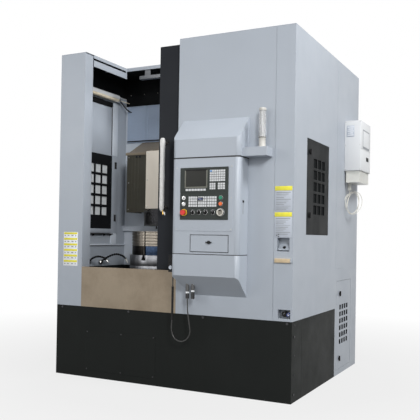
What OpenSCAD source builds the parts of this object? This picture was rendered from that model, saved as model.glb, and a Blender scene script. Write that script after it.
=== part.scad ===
// Vertical turning lathe in a sheet-metal enclosure: cast bed and column, chuck with ring jaws,
// cross saddle with a turret, sliding front door, operator console and service doors.
// Millimetres, +Z up. The origin is on the floor in the middle of the footprint.
// Depths are counted from the front plane towards the rear, so what stands proud is negative.

/* [Enclosure] */
// Width of the enclosure
body_w = 2140; // [1900:10:2400]
// Depth of the enclosure
body_d = 1810; // [1700:10:2100]
// Height of the enclosure
body_h = 2750; // [2600:10:3000]
// Thickness of the sheet metal
sheet = 4; // [3:0.5:6]
// Height of the dark skirts round the bed
skirt_h = 590; // [560:5:640]
// Depth of the dark skirts on the sides
skirt_side_d = 1095; // [1000:5:1100]
// How far the front skirt wraps round each corner
skirt_wrap = 220; // [120:10:400]
// Width of the pillar left of the opening
pillar_w = 255; // [180:5:320]
// Depth of that pillar
pillar_d = 110; // [95:5:160]
// Width of the work opening
opening_w = 920; // [850:5:960]
// Depth of the crane opening in the roof
roof_cut_d = 605; // [560:5:700]
// Height of the top edge of the stainless apron
apron_top = 925; // [800:5:960]

/* [Front door] */
// Width of the sliding door
door_w = 990; // [940:5:1000]
// Thickness of the door leaf
door_t = 40; // [25:1:50]
// Distance from the front plane to the door leaf
door_gap = 40; // [36:1:50]
// Room between the open door and the right wall
door_room = 171; // [100:1:200]
// Distance from the top of the enclosure to the door leaf
door_drop = 43; // [40:1:60]
// Width of the door window
glass_w = 520; // [300:10:600]
// Height of the door window
glass_h = 760; // [400:10:900]
// Length of the door handle
handle_h = 580; // [300:10:700]
// Radius of the handle bar
handle_r = 11; // [8:0.5:16]

/* [Work space] */
// Place of the spindle axis across the machine
spindle_x = -355; // [-370:5:-340]
// Depth of the spindle axis
spindle_d = 500; // [480:5:520]
// Radius of the spindle shaft
spindle_r = 100; // [80:1:120]
// Radius of the chuck
chuck_r = 255; // [245:1:270]
// Height of the chuck face above the floor
chuck_top = 1028; // [1000:1:1060]
// Height of the chuck body
chuck_h = 140; // [110:1:150]
// Outer radius of the ring jaws
jaw_r = 240; // [220:1:250]
// Inner radius of the ring jaws
jaw_bore = 150; // [130:1:180]
// Height of the dark jaw bases
jaw_base_h = 78; // [50:1:90]
// Height of the grooved jaw rings
jaw_ring_h = 126; // [80:1:130]
// Depth of the inner back wall
liner_d = 1000; // [980:5:1020]
// Place of the inner right wall
liner_x = 330; // [310:5:360]
// Height of the chip pan rim
pan_top = 905; // [800:5:920]

/* [Tool slide] */
// Width of the saddle cover
saddle_w = 980; // [900:10:1000]
// How far the saddle cover stands out of the inner back wall
saddle_reach = 300; // [280:5:310]
// Height of the lower edge of the saddle cover
saddle_low = 1412; // [1380:2:1430]
// Height of the front lip of the saddle cover
saddle_lip = 1965; // [1950:1:2000]
// Height of the rear edge of its sloping roof
saddle_ridge = 2105; // [2060:1:2110]
// Width of the ram cover
ram_w = 380; // [340:5:420]
// How far the ram cover stands out of the saddle cover
ram_reach = 140; // [125:1:142]
// Height of the lower edge of the ram cover
ram_low = 1440; // [1430:1:1460]
// Height of the top of the ram cover
ram_top = 1963; // [1900:1:1990]
// Distance from the turret axis to its flats
turret_r = 62; // [55:1:64]
// Thickness of the turret
turret_t = 85; // [60:1:85]
// Height of the turret axis
turret_z = 1364; // [1360:1:1380]
// How far the tools stand out of the turret
tool_out = 30; // [20:1:30]

/* [Bed and column] */
// Height of the bed deck
bed_h = 580; // [540:5:585]
// Thickness of the bed walls and ribs
bed_wall = 30; // [20:1:45]
// Thickness of the bed deck
bed_deck = 60; // [40:5:100]
// Width of the column
column_w = 860; // [800:10:900]
// Distance from the inner back wall to the column face
column_gap = 120; // [110:5:150]
// Depth of the column rear
column_back_d = 1700; // [1600:10:1720]
// Distance from the top of the enclosure to the column
column_head = 190; // [100:10:350]
// Wall thickness of the column
column_wall = 40; // [30:5:80]
// Radius of the spindle housing
housing_r = 180; // [160:1:190]
// Radius of the anchor holes
anchor_r = 11; // [8:0.5:14]

/* [Console] */
// Distance from the edge of the open door to the left face of the console
con_in = 247; // [240:1:260]
// Width of the console
con_w = 560; // [540:5:580]
// How far the console stands in front
con_d = 165; // [150:1:190]
// Height of the lowest edge of the console
con_low = 745; // [700:5:780]
// Height of the front lower edge of the console
con_band_low = 900; // [850:5:960]
// Height of the groove above the lower band
con_groove_z = 1060; // [1040:1:1070]
// Height of the split under the hood
con_split = 1785; // [1760:1:1800]
// Height of the front edge of the hood roof
con_hood = 1925; // [1880:5:1960]
// Height of the hood roof at the wall
con_top = 2095; // [2000:5:2150]
// Radius of the upright front edges
con_round = 32; // [15:1:40]
// Radius of the tower light
tower_r = 27.5; // [20:0.5:35]
// Height of the tower light
tower_h = 290; // [200:5:350]

/* [Side doors] */
// Depth of the front edge of the vented door
vent_d = 285; // [240:5:320]
// Width of the vented door
vent_w = 575; // [500:5:600]
// Height of the lower edge of the vented door
vent_low = 1222; // [1180:2:1260]
// Height of the vented door
vent_h = 740; // [650:5:780]
// Depth of the front edge of the rear door
rear_d = 1140; // [1120:5:1180]
// Width of the rear door
rear_w = 470; // [400:5:540]
// Height of the lower edge of the rear door
rear_low = 45; // [30:1:80]
// Height of the rear door
rear_h = 780; // [700:5:840]

/* [Lubricator] */
// How far the pump box stands out of the side
pump_out = 150; // [110:5:200]
// Depth of the front of the pump box
pump_d = 1330; // [1200:10:1400]
// Width of the pump box
pump_w = 356; // [250:2:380]
// Height of the lower edge of the pump box
pump_low = 1809; // [1780:1:1900]
// Height of the pump box
pump_h = 449; // [350:1:520]
// Height of the oil tank
tank_h = 104; // [70:1:150]
// Mean radius of the hose coil
coil_r = 100; // [80:1:115]

/* [Hidden] */
$fn = 64;

// Overrun of every cut
over = 1;
// Clearance between pieces that move on each other
run = 0.3;
// Gap round doors and flaps
reveal = 2;

// Side faces of the enclosure and its inside
side_x = body_w / 2;
in_x = side_x - sheet;
roof_z = body_h - sheet;
back_d = body_d - sheet;
// Column face and top, top edge of the door leaf
column_d = liner_d + column_gap;
saddle_face_d = liner_d - saddle_reach;
ram_face_d = saddle_face_d - ram_reach;
column_top = body_h - column_head;
door_top = body_h - door_drop;
// Left edges of the open door and of the console
door_x = in_x - door_room - door_w;
con_x = door_x + con_in;
// Edges of the work opening
open_l = pillar_w - side_x;
open_r = open_l + opening_w;

// Widest pocket between the ribs, anchor pads in the corners of the bed
bed_cell = 260;
pad_w = 100;
pad_h = 45;

// Front skirt cover plate: how far it stands proud and its edges as shares of the skirt
plate_t = 3;
plate_x_shares = [0.145, 0.466];
plate_z_shares = [0.098, 0.668];
// Seams between the sheets of the sides and the back
joint_w = 3;
joint_t = 1.5;
side_seam_d = 1100;
side_seam_z = 930;
back_x_shares = [-0.34, 0.34];
back_z_shares = [0.3, 0.66];
// Gap between the skirts, bolt heads
skirt_gap = 2;
bolt_r = 9;
bolt_h = 5;
bolt_drop = 15;
bolt_x_shares = [0.029, 0.345, 0.664, 0.983];
bolt_z_shares = [0.1, 0.81];
wrap_bolt_d = 50;

// Roof flange beside the crane opening, its slot, and the fascia behind it
flange_h = 99;
flange_in = 10;
slot_low = 45;
slot_h = 16;
fascia_h = 32;

// Front panel: seam, return, pockets
seam_inset = 150;
seam_w = 4;
seam_deep = 1.5;
return_d = 30;
pocket_d = 60;
pocket_wall = 3;
holster_w = 95;
holster_h = 98;
holster_low = 1098;
air_w = 96;
air_h = 65;
air_rise = 20;
pocket_side = 28;
ledge_w = 120;
ledge_h = 29;
ledge_out = 16;
ledge_low = 1016;
gauge_r = 20;
gauge_t = 26;
gauge_share = 0.44;
valve_r = 12;
valve_out = 40;
valve_share = 0.82;

// Apron: lip and fold
apron_lip = 24;
apron_side = 3;

// Door leaf: frame, roof leaf, shoes
leaf_border = 60;
leaf_skin = 3;
roof_leaf_t = 11;
roof_leaf_end = 10;
shoe_w = 80;
shoe_t = 18;
shoe_inset = 120;
glass_t = 12;
glass_x_share = 0.5;
glass_low = 1330;
handle_low = 1390;
handle_in = 75;
handle_out = 60;
handle_foot = 34;
// Rails of the door
rail_h = 60;
rail_w = 30;
rail_inset = 5;
top_rail_h = 30;
top_rail_w = 50;
top_rail_drop = 52;
top_rail_l = 175;
rail_end = 170;
hanger_t = 6;
hanger_w = 60;
hanger_shares = [0.02, 0.5, 0.98];

// Spindle housing flange and collar, chuck slots
flange_r = 230;
flange_t = 30;
housing_low = 330;
housing_top = 860;
shaft_low = 400;
collar_r = 120;
slot_w = 22;
slot_neck = 26;
tee_w = 40;
tee_h = 18;
slot_in = 70;
chuck_hole_r = 45;
chuck_hole_h = 4;
rim_groove = 8;
jaw_gap = 10;
jaw_step = 5;
jaw_foot_bore = 110;
jaw_grooves = 5;
groove_deep = 7;
groove_share = 0.42;
slots = 6;
jaw_angles = [210, 330, 90];

// Inner walls
pan_t = 4;
liner_front_d = 100;
liner_head = 150;
liner_top = body_h - liner_head;
ledge_z = 1240;
wall_ledge_h = 50;
wall_ledge_d = 30;
way_drop = 635;
way_low = body_h - way_drop;
way_h = 360;
way_t = 15;
way_side = 26;

// Saddle: neck, carriage, rails and travel
saddle_travel = 160;
neck_w = 300;
neck_low = 1570;
neck_h = 380;
carriage_w = 500;
carriage_low = 1540;
carriage_h = 470;
carriage_gap = 10;
x_rail_h = 40;
x_rail_d = 30;
x_rail_shares = [0.14, 0.86];
block_low = 1450;
block_h = 500;
saddle_gap = 40;
roof_back_d = liner_d - saddle_gap;
z_rail_w = 30;
z_rail_out = 15;
z_rail_x = 90;
// Ram and turret
spine_w = 280;
head_low = 1284;
head_h = 139;
head_lap = 13;
hub_r = 30;
hub_l = 70;
disc_gap = 9;
stations = 4;
tool_w = 26;
tool_t = 26;
// Tool places below, on the left and on the right; the side ones hold three narrow tools
tool_angle = 90;
side_angles = [0, 180];
side_places = [-30, 0, 30];
side_w = 16;
boss_r = 40;
boss_t = 12;
nozzle_r = 7;
nozzle_l = 26;
nozzle_x = 110;

// Lamp
lamp_r = 22;
lamp_d = 250;
lamp_l = 566;
lamp_drop = 240;
lamp_z = body_h - lamp_drop;
lamp_off = 36;
lamp_foot = 30;
lead_r = 4;

// Console: groove, pocket of the flap, slot in the right face, plates
con_wall = 4;
groove_w = 6;
groove_cut = 3;
corner_x = 98;
split_gap = 4;
flap_in = 166;
flap_x = con_x + flap_in;
flap_w = 312;
flap_low = 1082;
flap_h = 125;
flap_t = 5;
flap_room = 60;
pin_r = 3;
pin_l = 3;
side_slot_low = 1365;
side_slot_h = 100;
side_slot_w = 12;
side_slot_out = 90;
op_in = 33;
op_x = con_x + op_in;
op_w = 480;
op_low = 1236;
op_h = 488;
op_t = 3;
unit_in = 44;
unit_x = op_x + unit_in;
unit_w = 399;
cnc_low = 1524;
cnc_h = 185;
cnc_t = 7;
screen_in = 48;
screen_x = unit_x + screen_in;
screen_w = 173;
screen_low = 1565;
screen_h = 122;
screen_t = 3;
panel_low = 1320;
panel_h = 192;
panel_t = 5;
key_t = 2;
// Key fields as shares of the unit: left, right, low, high, columns, rows
cnc_key_shares = [[0.12, 0.555, 0.06, 0.16, 7, 1], [0.625, 0.945, 0.43, 0.9, 7, 5],
    [0.625, 0.75, 0.11, 0.38, 3, 3], [0.795, 0.945, 0.11, 0.38, 3, 3]];
panel_key_shares = [[0.185, 0.375, 0.5, 0.92, 4, 4], [0.385, 0.57, 0.5, 0.92, 4, 4],
    [0.58, 0.775, 0.5, 0.92, 4, 4]];
key_fill_share = 0.82;
// Centres of the controls, counted from the left edge of the unit and from the floor
row_z = 1374;
lower_z = 1437;
upper_z = 1482;
left_in = 35;
right_in = 343;
selector_in = [109, 161, 216, 278];
left_x = unit_x + left_in;
right_x = unit_x + right_in;
selector_x = [for (x = selector_in) unit_x + x];
stem_r = 7;
stem_l = 14;
estop_r = 20;
estop_h = 14;
estop_press = 6;
ring_r = 26;
ring_h = 8;
button_r = 13;
button_h = 8;
button_press = 3;
bezel_r = 17;
bezel_h = 3;
selector_r = 15;
selector_h = 17;
wing_share = 0.8;
dial_r = 30;
dial_h = 18;
dial_grip_r = 5;
dial_grip_h = 12;
dial_grip_at = 20;
port_r = 15;
port_h = 5;
latch_r = 12;
latch_h = 10;
wing_l = 46;
wing_w = 9;
flap_latch_share = 0.57;

// Tower bracket and light
bracket_w = 191;
bracket_d = 115;
bracket_low = 1787;
bracket_h = 65;
tower_out = 58;
tower_in = 130;
tower_foot_share = 0.24;
tower_mid_share = 0.4;
tower_step = 2;

// Service doors: leaf, hinge tube, frame behind the opening, vents and latches
leaf_t = 6;
hinge_r = 8;
stub_r = 3.5;
stub_l = 3;
frame_d = 26;
vent_cols = 3;
vent_rows = 5;
vent_x_shares = [0.27, 0.81];
vent_z_shares = [0.205, 0.823];
grille_x_shares = [0.18, 0.72];
grille_z_shares = [0.205, 0.88];
rear_cols = 4;
rear_rows = 6;
rear_x_shares = [0.18, 0.81];
rear_z_shares = [0.268, 0.737];
vent_fill_share = 0.78;
rear_fill_share = 0.7;
vent_latch_in = 70;
vent_latch_shares = [0.204, 0.864];
rear_latch_in = 95;
rear_latch_shares = [0.122, 0.854];
shaft_r = 6;
knob_r = 15;
knob_h = 6;
lever_l = 44;
lever_w = 12;
lever_h = 8;
cam_l = 30;
cam_w = 14;
cam_t = 5;

// Lubricator details
tank_inset = 14;
spout_r = 8;
spout_l = 64;
spout_d = 110;
coil_w = 24;
coil_t = 30;
coil_sink = 4;

// Pendant, its cord and the plugs
pend_w = 38;
pend_d = 60;
pend_h = 130;
pend_low = 920;
pend_front = 125;
hook_t = 6;
hook_w = 26;
gland_in = 25;
gland_r = 8;
gland_l = 15;
cord_r = 5;
cord_sides = 10;
cord_steps = 4;
plug_r = 13;
plug_l = 130;
plug_low = 720;
plug_in = [103, 150];
plug_x = [for (x = plug_in) con_x + x];
plug_out = 82;
cord_route = [[133, -95, 905], [133, -95, 850], [132, -94, 760], [131, -93, 660], [130, -92, 560],
    [126, -91, 480], [150, -90, 415], [205, -88, 390], [255, -86, 410], [284, -84, 460], [276, -83, 530],
    [260, -82, 620], [255, -82, 720]];

// Place of a depth behind the front plane
function at_d(d) = d - body_d / 2;
// Point between two shares of a length
function between(a, b, share) = a + (b - a) * share;
// Smooth curve through route points
function curve(p, i, t) = let (n = len(p) - 1, a = p[max(i - 1, 0)], b = p[i], c = p[i + 1],
    e = p[min(i + 2, n)]) 0.5 * (2 * b + (c - a) * t + (2 * a - 5 * b + 4 * c - e) * t * t
    + (3 * b - a - 3 * c + e) * t * t * t);
function route(p, steps) = concat([for (i = [0 : len(p) - 2], s = [0 : steps - 1]) curve(p, i, s / steps)],
    [p[len(p) - 1]]);
function unit(v) = v / norm(v);
function heading(p, i) = unit(p[min(i + 1, len(p) - 1)] - p[max(i - 1, 0)]);
// One ring of points across the cord, kept upright to the depth axis
function ring(c, h, r, n) = let (s = unit(cross(h, [0, 1, 0])), u = cross(s, h))
    [for (k = [0 : n - 1]) c + r * (cos(360 * k / n) * s + sin(360 * k / n) * u)];

// Block from named edges: across, depth, height
module block(x, d, z) {
    translate([x[0], at_d(d[0]), z[0]]) cube([x[1] - x[0], d[1] - d[0], z[1] - z[0]]);
}

// Cylinder along the depth axis, from depth d0 to d1
module rod_d(x, z, r, d0, d1) {
    translate([x, at_d(d0), z]) rotate([-90, 0, 0]) cylinder(r = r, h = d1 - d0);
}

// Cylinder along the width axis
module rod_x(d, z, r, x0, x1) {
    translate([x0, at_d(d), z]) rotate([0, 90, 0]) cylinder(r = r, h = x1 - x0);
}

// Upright cylinder
module rod_z(x, d, r, z0, z1) {
    translate([x, at_d(d), z0]) cylinder(r = r, h = z1 - z0);
}

// Solid swept along points
module sweep(p, r, n) {
    rings = len(p);
    pts = [for (i = [0 : rings - 1]) each ring(p[i], heading(p, i), r, n)];
    sides = [for (i = [0 : rings - 2], k = [0 : n - 1])
        [i * n + k, i * n + (k + 1) % n, (i + 1) * n + (k + 1) % n, (i + 1) * n + k]];
    caps = [[for (k = [n - 1 : -1 : 0]) k], [for (k = [0 : n - 1]) (rings - 1) * n + k]];
    polyhedron(points = pts, faces = concat(sides, caps));
}

// Grid of square holes through a side sheet
module side_vents(x, cols, rows, d, z, fill) {
    pitch_d = (d[1] - d[0]) / cols;
    pitch_z = (z[1] - z[0]) / rows;
    for (i = [0 : cols - 1], k = [0 : rows - 1]) {
        mid_d = d[0] + pitch_d * (i + 1 / 2);
        mid_z = z[0] + pitch_z * (k + 1 / 2);
        block([x - leaf_t - over, x + leaf_t + over],
            [mid_d - pitch_d * fill / 2, mid_d + pitch_d * fill / 2],
            [mid_z - pitch_z * fill / 2, mid_z + pitch_z * fill / 2]);
    }
}

// Cast bed with ribs below, column with rails, in one casting
bed_front = sheet;
wing_x = liner_x - sheet;
column_x = [spindle_x - column_w / 2, spindle_x + column_w / 2];
x_rail_z = [for (s = x_rail_shares) carriage_low + carriage_h * s];
anchor_x = in_x - pad_w / 2;
anchor_d = [bed_front + pad_w / 2, skirt_side_d - pad_w / 2];

// Rows of upright pockets between walls and ribs, none wider than the cell
module pockets(x, d, z, wall) {
    cols = ceil((x[1] - x[0] - wall) / (bed_cell + wall));
    rows = ceil((d[1] - d[0] - wall) / (bed_cell + wall));
    w = (x[1] - x[0] - wall * (cols + 1)) / cols;
    l = (d[1] - d[0] - wall * (rows + 1)) / rows;
    for (i = [0 : cols - 1], k = [0 : rows - 1]) {
        x0 = x[0] + wall + (w + wall) * i;
        d0 = d[0] + wall + (l + wall) * k;
        block([x0, x0 + w], [d0, d0 + l], z);
    }
}

module frame_casting() {
    color([0.42, 0.45, 0.47]) difference() {
        union() {
            difference() {
                union() {
                    block([-in_x, wing_x], [bed_front, back_d], [0, bed_h]);
                    block([-in_x, in_x], [bed_front, skirt_side_d], [0, bed_h]);
                }
                pockets([-in_x, in_x], [bed_front, skirt_side_d], [-over, bed_h - bed_deck], bed_wall);
                pockets([-in_x, wing_x], [skirt_side_d - bed_wall, back_d],
                    [-over, bed_h - bed_deck], bed_wall);
                rod_z(spindle_x, spindle_d, housing_r + run, housing_low - reveal, bed_h + over);
            }
            for (x = [-anchor_x, anchor_x], d = anchor_d) {
                block([x - pad_w / 2, x + pad_w / 2], [d - pad_w / 2, d + pad_w / 2], [0, pad_h]);
            }
            difference() {
                block(column_x, [column_d, column_back_d], [bed_h, column_top]);
                pockets(column_x, [column_d, column_back_d], [bed_h, column_top + over], column_wall);
            }
            for (z = x_rail_z) {
                block(column_x, [column_d - x_rail_d, column_d], [z - x_rail_h / 2, z + x_rail_h / 2]);
            }
        }
        for (x = [-anchor_x, anchor_x], d = anchor_d) rod_z(x, d, anchor_r, -over, pad_h + over);
    }
}

module spindle_housing() {
    color([0.5, 0.52, 0.54]) difference() {
        union() {
            rod_z(spindle_x, spindle_d, housing_r, housing_low, housing_top);
            rod_z(spindle_x, spindle_d, flange_r, bed_h, bed_h + flange_t);
        }
        rod_z(spindle_x, spindle_d, spindle_r + run, housing_low - over, housing_top + over);
    }
}

// Dark skirts: the front one wraps round both corners and carries a cover plate
module base_skirts() {
    color([0.13, 0.14, 0.16]) {
        block([-side_x, side_x], [0, sheet], [0, skirt_h]);
        block([between(-side_x, side_x, plate_x_shares[0]), between(-side_x, side_x, plate_x_shares[1])],
            [-plate_t, 0], [skirt_h * plate_z_shares[0], skirt_h * plate_z_shares[1]]);
        for (m = [0, 1]) mirror([m, 0, 0]) {
            block([in_x, side_x], [0, skirt_wrap], [0, skirt_h]);
            block([in_x, side_x], [skirt_wrap + skirt_gap, skirt_side_d], [0, skirt_h]);
        }
    }
}

module skirt_bolts() {
    color([0.3, 0.31, 0.33]) {
        for (s = bolt_x_shares) {
            rod_d(between(-side_x, side_x, s), skirt_h - bolt_drop, bolt_r, -bolt_h, 0);
        }
        for (s = bolt_z_shares) rod_x(wrap_bolt_d, skirt_h * s, bolt_r, side_x, side_x + bolt_h);
    }
}

// Side sheet from the front to the rear, reaching the floor behind the skirts
module side_sheet() {
    difference() {
        union() {
            block([in_x, side_x], [sheet, skirt_side_d], [skirt_h, roof_z]);
            block([in_x, side_x], [skirt_side_d, body_d], [0, roof_z]);
        }
        block([side_x - joint_t, side_x + over], [side_seam_d, body_d + over],
            [side_seam_z, side_seam_z + joint_w]);
        block([side_x - joint_t, side_x + over], [side_seam_d, side_seam_d + joint_w],
            [side_seam_z, roof_z + over]);
    }
}

grille_lap = 15;
module left_wall() {
    color([0.78, 0.82, 0.87]) {
        difference() {
            mirror([1, 0, 0]) side_sheet();
            block([-side_x - over, -in_x + over], [vent_d + grille_lap, vent_d + vent_w - grille_lap],
                [vent_low + grille_lap, vent_low + vent_h - grille_lap]);
        }
        block([-side_x, open_l], [0, sheet], [skirt_h, roof_z]);
        block([open_l - sheet, open_l], [0, pillar_d], [skirt_h, roof_z]);
        block([-side_x, open_l], [pillar_d - sheet, pillar_d], [skirt_h, roof_z]);
    }
}

// Fixed vented plate on the inside of the left wall
module left_grille() {
    color([0.3, 0.32, 0.35]) difference() {
        block([-in_x, -in_x + leaf_t], [vent_d, vent_d + vent_w], [vent_low, vent_low + vent_h]);
        side_vents(-in_x + leaf_t / 2, vent_cols, vent_rows,
            [for (s = grille_x_shares) vent_d + vent_w * s],
            [for (s = grille_z_shares) vent_low + vent_h * s], vent_fill_share);
    }
}

// Opening of a side door with a folded frame behind it and holes for the hinge stubs
module door_hole(d, w, z, h) {
    block([in_x - frame_d - over, side_x + over], [d, d + w], [z, z + h]);
    rod_z(side_x - hinge_r, d + w - reveal - hinge_r, stub_r + run, z - sheet - over, z + h + sheet + over);
}

module door_frame(d, w, z, h) {
    block([in_x - frame_d, in_x], [d - sheet, d + w + sheet], [z - sheet, z + h + sheet]);
}

module right_wall() {
    color([0.84, 0.85, 0.86]) difference() {
        union() {
            side_sheet();
            door_frame(vent_d, vent_w, vent_low, vent_h);
            door_frame(rear_d, rear_w, rear_low, rear_h);
        }
        door_hole(vent_d, vent_w, vent_low, vent_h);
        door_hole(rear_d, rear_w, rear_low, rear_h);
    }
}

module back_panel() {
    color([0.8, 0.82, 0.84]) difference() {
        block([-in_x, in_x], [back_d, body_d], [0, roof_z]);
        for (s = back_x_shares) {
            block([in_x * s - joint_w / 2, in_x * s + joint_w / 2], [body_d - joint_t, body_d + over],
                [-over, roof_z + over]);
        }
        for (s = back_z_shares) {
            block([-in_x - over, in_x + over], [body_d - joint_t, body_d + over],
                [roof_z * s - joint_w / 2, roof_z * s + joint_w / 2]);
        }
    }
}

module roof() {
    color([0.86, 0.88, 0.9]) difference() {
        union() {
            difference() {
                block([-side_x, side_x], [0, body_d], [roof_z, body_h]);
                block([open_l + flange_in, open_r], [-over, roof_cut_d], [roof_z - over, body_h + over]);
            }
            block([open_l + flange_in - sheet, open_l + flange_in], [pillar_d, roof_cut_d + flange_in],
                [body_h - flange_h, roof_z]);
            block([open_l + flange_in, open_r], [roof_cut_d, roof_cut_d + sheet],
                [body_h - fascia_h, roof_z]);
        }
        block([open_l - flange_in, open_l + flange_in + over],
            [pillar_d - over, roof_cut_d - roof_leaf_end + reveal],
            [body_h - slot_low, body_h - slot_low + slot_h]);
    }
}

// Lower rail on the deck and upper rail hung from the roof
rail_d = door_gap + rail_inset;
rail_top = bed_h + rail_h;
top_rail_d = roof_cut_d - top_rail_w + top_rail_w / 3;
top_rail_z = door_top - top_rail_drop;
top_rail_x = [open_l + top_rail_l, side_x - rail_end];
module door_rails() {
    color([0.82, 0.83, 0.84]) {
        block([open_l, side_x - rail_end], [rail_d, rail_d + rail_w], [bed_h, rail_top]);
        block(top_rail_x, [top_rail_d, top_rail_d + top_rail_w], [top_rail_z - top_rail_h, top_rail_z]);
        for (s = hanger_shares) {
            x = between(top_rail_x[0], top_rail_x[1] - hanger_w, s);
            block([x, x + hanger_w], [top_rail_d + top_rail_w - hanger_t, top_rail_d + top_rail_w],
                [top_rail_z - top_rail_h, roof_z]);
        }
    }
}

// Front panel right of the opening: corner seam, holster pocket, small ledge, air pocket
holster_x = side_x - pocket_side - holster_w;
air_x = side_x - pocket_side / 2 - air_w;
air_low = skirt_h + air_rise;
module pocket_walls(x, w, z, h) {
    block([x - pocket_wall, x + w + pocket_wall], [0, pocket_d + pocket_wall],
        [z - pocket_wall, z + h + pocket_wall]);
}

module front_panel() {
    color([0.76, 0.81, 0.87]) difference() {
        union() {
            block([open_r, side_x], [0, sheet], [skirt_h, roof_z]);
            block([open_r, open_r + sheet], [0, return_d], [skirt_h, roof_z]);
            pocket_walls(holster_x, holster_w, holster_low, holster_h);
            pocket_walls(air_x, air_w, air_low, air_h);
            block([holster_x - pocket_wall, holster_x - pocket_wall + ledge_w], [-ledge_out, 0],
                [ledge_low, ledge_low + ledge_h]);
        }
        block([side_x - seam_inset - seam_w / 2, side_x - seam_inset + seam_w / 2], [-over, seam_deep],
            [skirt_h - over, roof_z + over]);
        block([holster_x, holster_x + holster_w], [-over, pocket_d],
            [holster_low, holster_low + holster_h]);
        block([air_x, air_x + air_w], [-over, pocket_d], [air_low, air_low + air_h]);
    }
}

// Stainless apron below the opening with a lip folded towards the inside
module apron() {
    color([0.62, 0.57, 0.5]) {
        block([open_l, open_r], [0, sheet], [skirt_h, apron_top]);
        block([open_l, open_r], [0, apron_lip], [apron_top - sheet, apron_top]);
    }
}

// Back wall with the slot for the saddle neck, and the right wall of the work space
slot_x = [spindle_x - neck_w / 2 - saddle_travel - reveal, spindle_x + neck_w / 2 + saddle_travel + reveal];
module neck_slot() {
    block(slot_x, [liner_d - way_t - over, liner_d + sheet + over],
        [neck_low - reveal, neck_low + neck_h + reveal]);
}

module inner_liner() {
    color([0.66, 0.71, 0.77]) {
        difference() {
            block([-in_x, liner_x], [liner_d, liner_d + sheet], [bed_h, roof_z]);
            neck_slot();
        }
        block([liner_x, liner_x + sheet], [liner_front_d, liner_d + sheet], [bed_h, liner_top]);
        block([-in_x, liner_x], [liner_d - wall_ledge_d, liner_d], [ledge_z, ledge_z + wall_ledge_h]);
    }
}

module way_cover() {
    color([0.6, 0.66, 0.73]) difference() {
        block([-in_x + way_side, liner_x - way_side], [liner_d - way_t, liner_d], [way_low, way_low + way_h]);
        neck_slot();
    }
}

pan_front_d = pillar_d + reveal;
module chip_pan() {
    color([0.4, 0.42, 0.45]) difference() {
        block([-in_x, liner_x], [pan_front_d, liner_d], [bed_h, pan_top]);
        block([-in_x + pan_t, liner_x - pan_t], [pan_front_d + pan_t, liner_d - pan_t],
            [bed_h + pan_t, pan_top + over]);
        rod_z(spindle_x, spindle_d, flange_r + reveal, bed_h - over, bed_h + pan_t + over);
    }
}

module work_lamp() {
    lamp_x = -in_x + lamp_off;
    color([0.9, 0.92, 0.9]) {
        rod_y_lamp(lamp_x);
        for (d = [lamp_d + lamp_foot, lamp_d + lamp_l - lamp_foot]) {
            block([-in_x, lamp_x], [d - lamp_foot / 2, d + lamp_foot / 2],
                [lamp_z - lamp_r / 2, lamp_z + lamp_r / 2]);
        }
        rod_d(lamp_x, lamp_z, lead_r, lamp_d + lamp_l, liner_d);
    }
}

module rod_y_lamp(x) {
    rod_d(x, lamp_z, lamp_r, lamp_d, lamp_d + lamp_l);
}

// Upright bar with rounded front edges, the outline of the console
module con_bar(inset, z0, z1, back = 0) {
    r = con_round - inset;
    x0 = con_x + inset;
    x1 = con_x + con_w - inset;
    d0 = -con_d + inset;
    translate([0, at_d(0), z0]) linear_extrude(z1 - z0) {
        translate([x0, d0 + r]) square([x1 - x0, back - d0 - r]);
        translate([x0 + r, d0]) square([x1 - x0 - r * 2, r * 2]);
        for (x = [x0 + r, x1 - r]) translate([x, d0 + r]) circle(r = r);
    }
}

// Side profile of the console body: sloping underside
module con_profile(inset) {
    translate([con_x + con_w + over, at_d(0), 0]) rotate([90, 0, -90]) linear_extrude(con_w + over * 2)
        polygon([[-over, con_low + inset * 2], [con_d + over, con_band_low + inset + over],
            [con_d + over, con_split - inset], [-over, con_split - inset]]);
}

// Corner cut off the lower left of the console
module con_corner(inset) {
    translate([0, at_d(over), 0]) rotate([90, 0, 0]) linear_extrude(con_d + over * 2)
        polygon([[con_x - over, con_low - over], [con_x + corner_x + inset, con_low - over],
            [con_x + inset, con_band_low], [con_x - over, con_band_low]]);
}

flap_pin_d = -con_d + flap_t / 2;
flap_pin_z = flap_low + reveal + flap_t / 2;
module control_holes() {
    for (x = selector_x) rod_d(x, row_z, stem_r + run, -con_d - op_t - panel_t - over,
        -con_d + con_wall + over);
    for (x = [left_x, right_x]) {
        rod_d(x, row_z, stem_r + run, -con_d - op_t - panel_t - over, -con_d + con_wall + over);
    }
    for (z = [lower_z, upper_z]) {
        rod_d(right_x, z, stem_r + run, -con_d - op_t - panel_t - over, -con_d + con_wall + over);
    }
}

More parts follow.
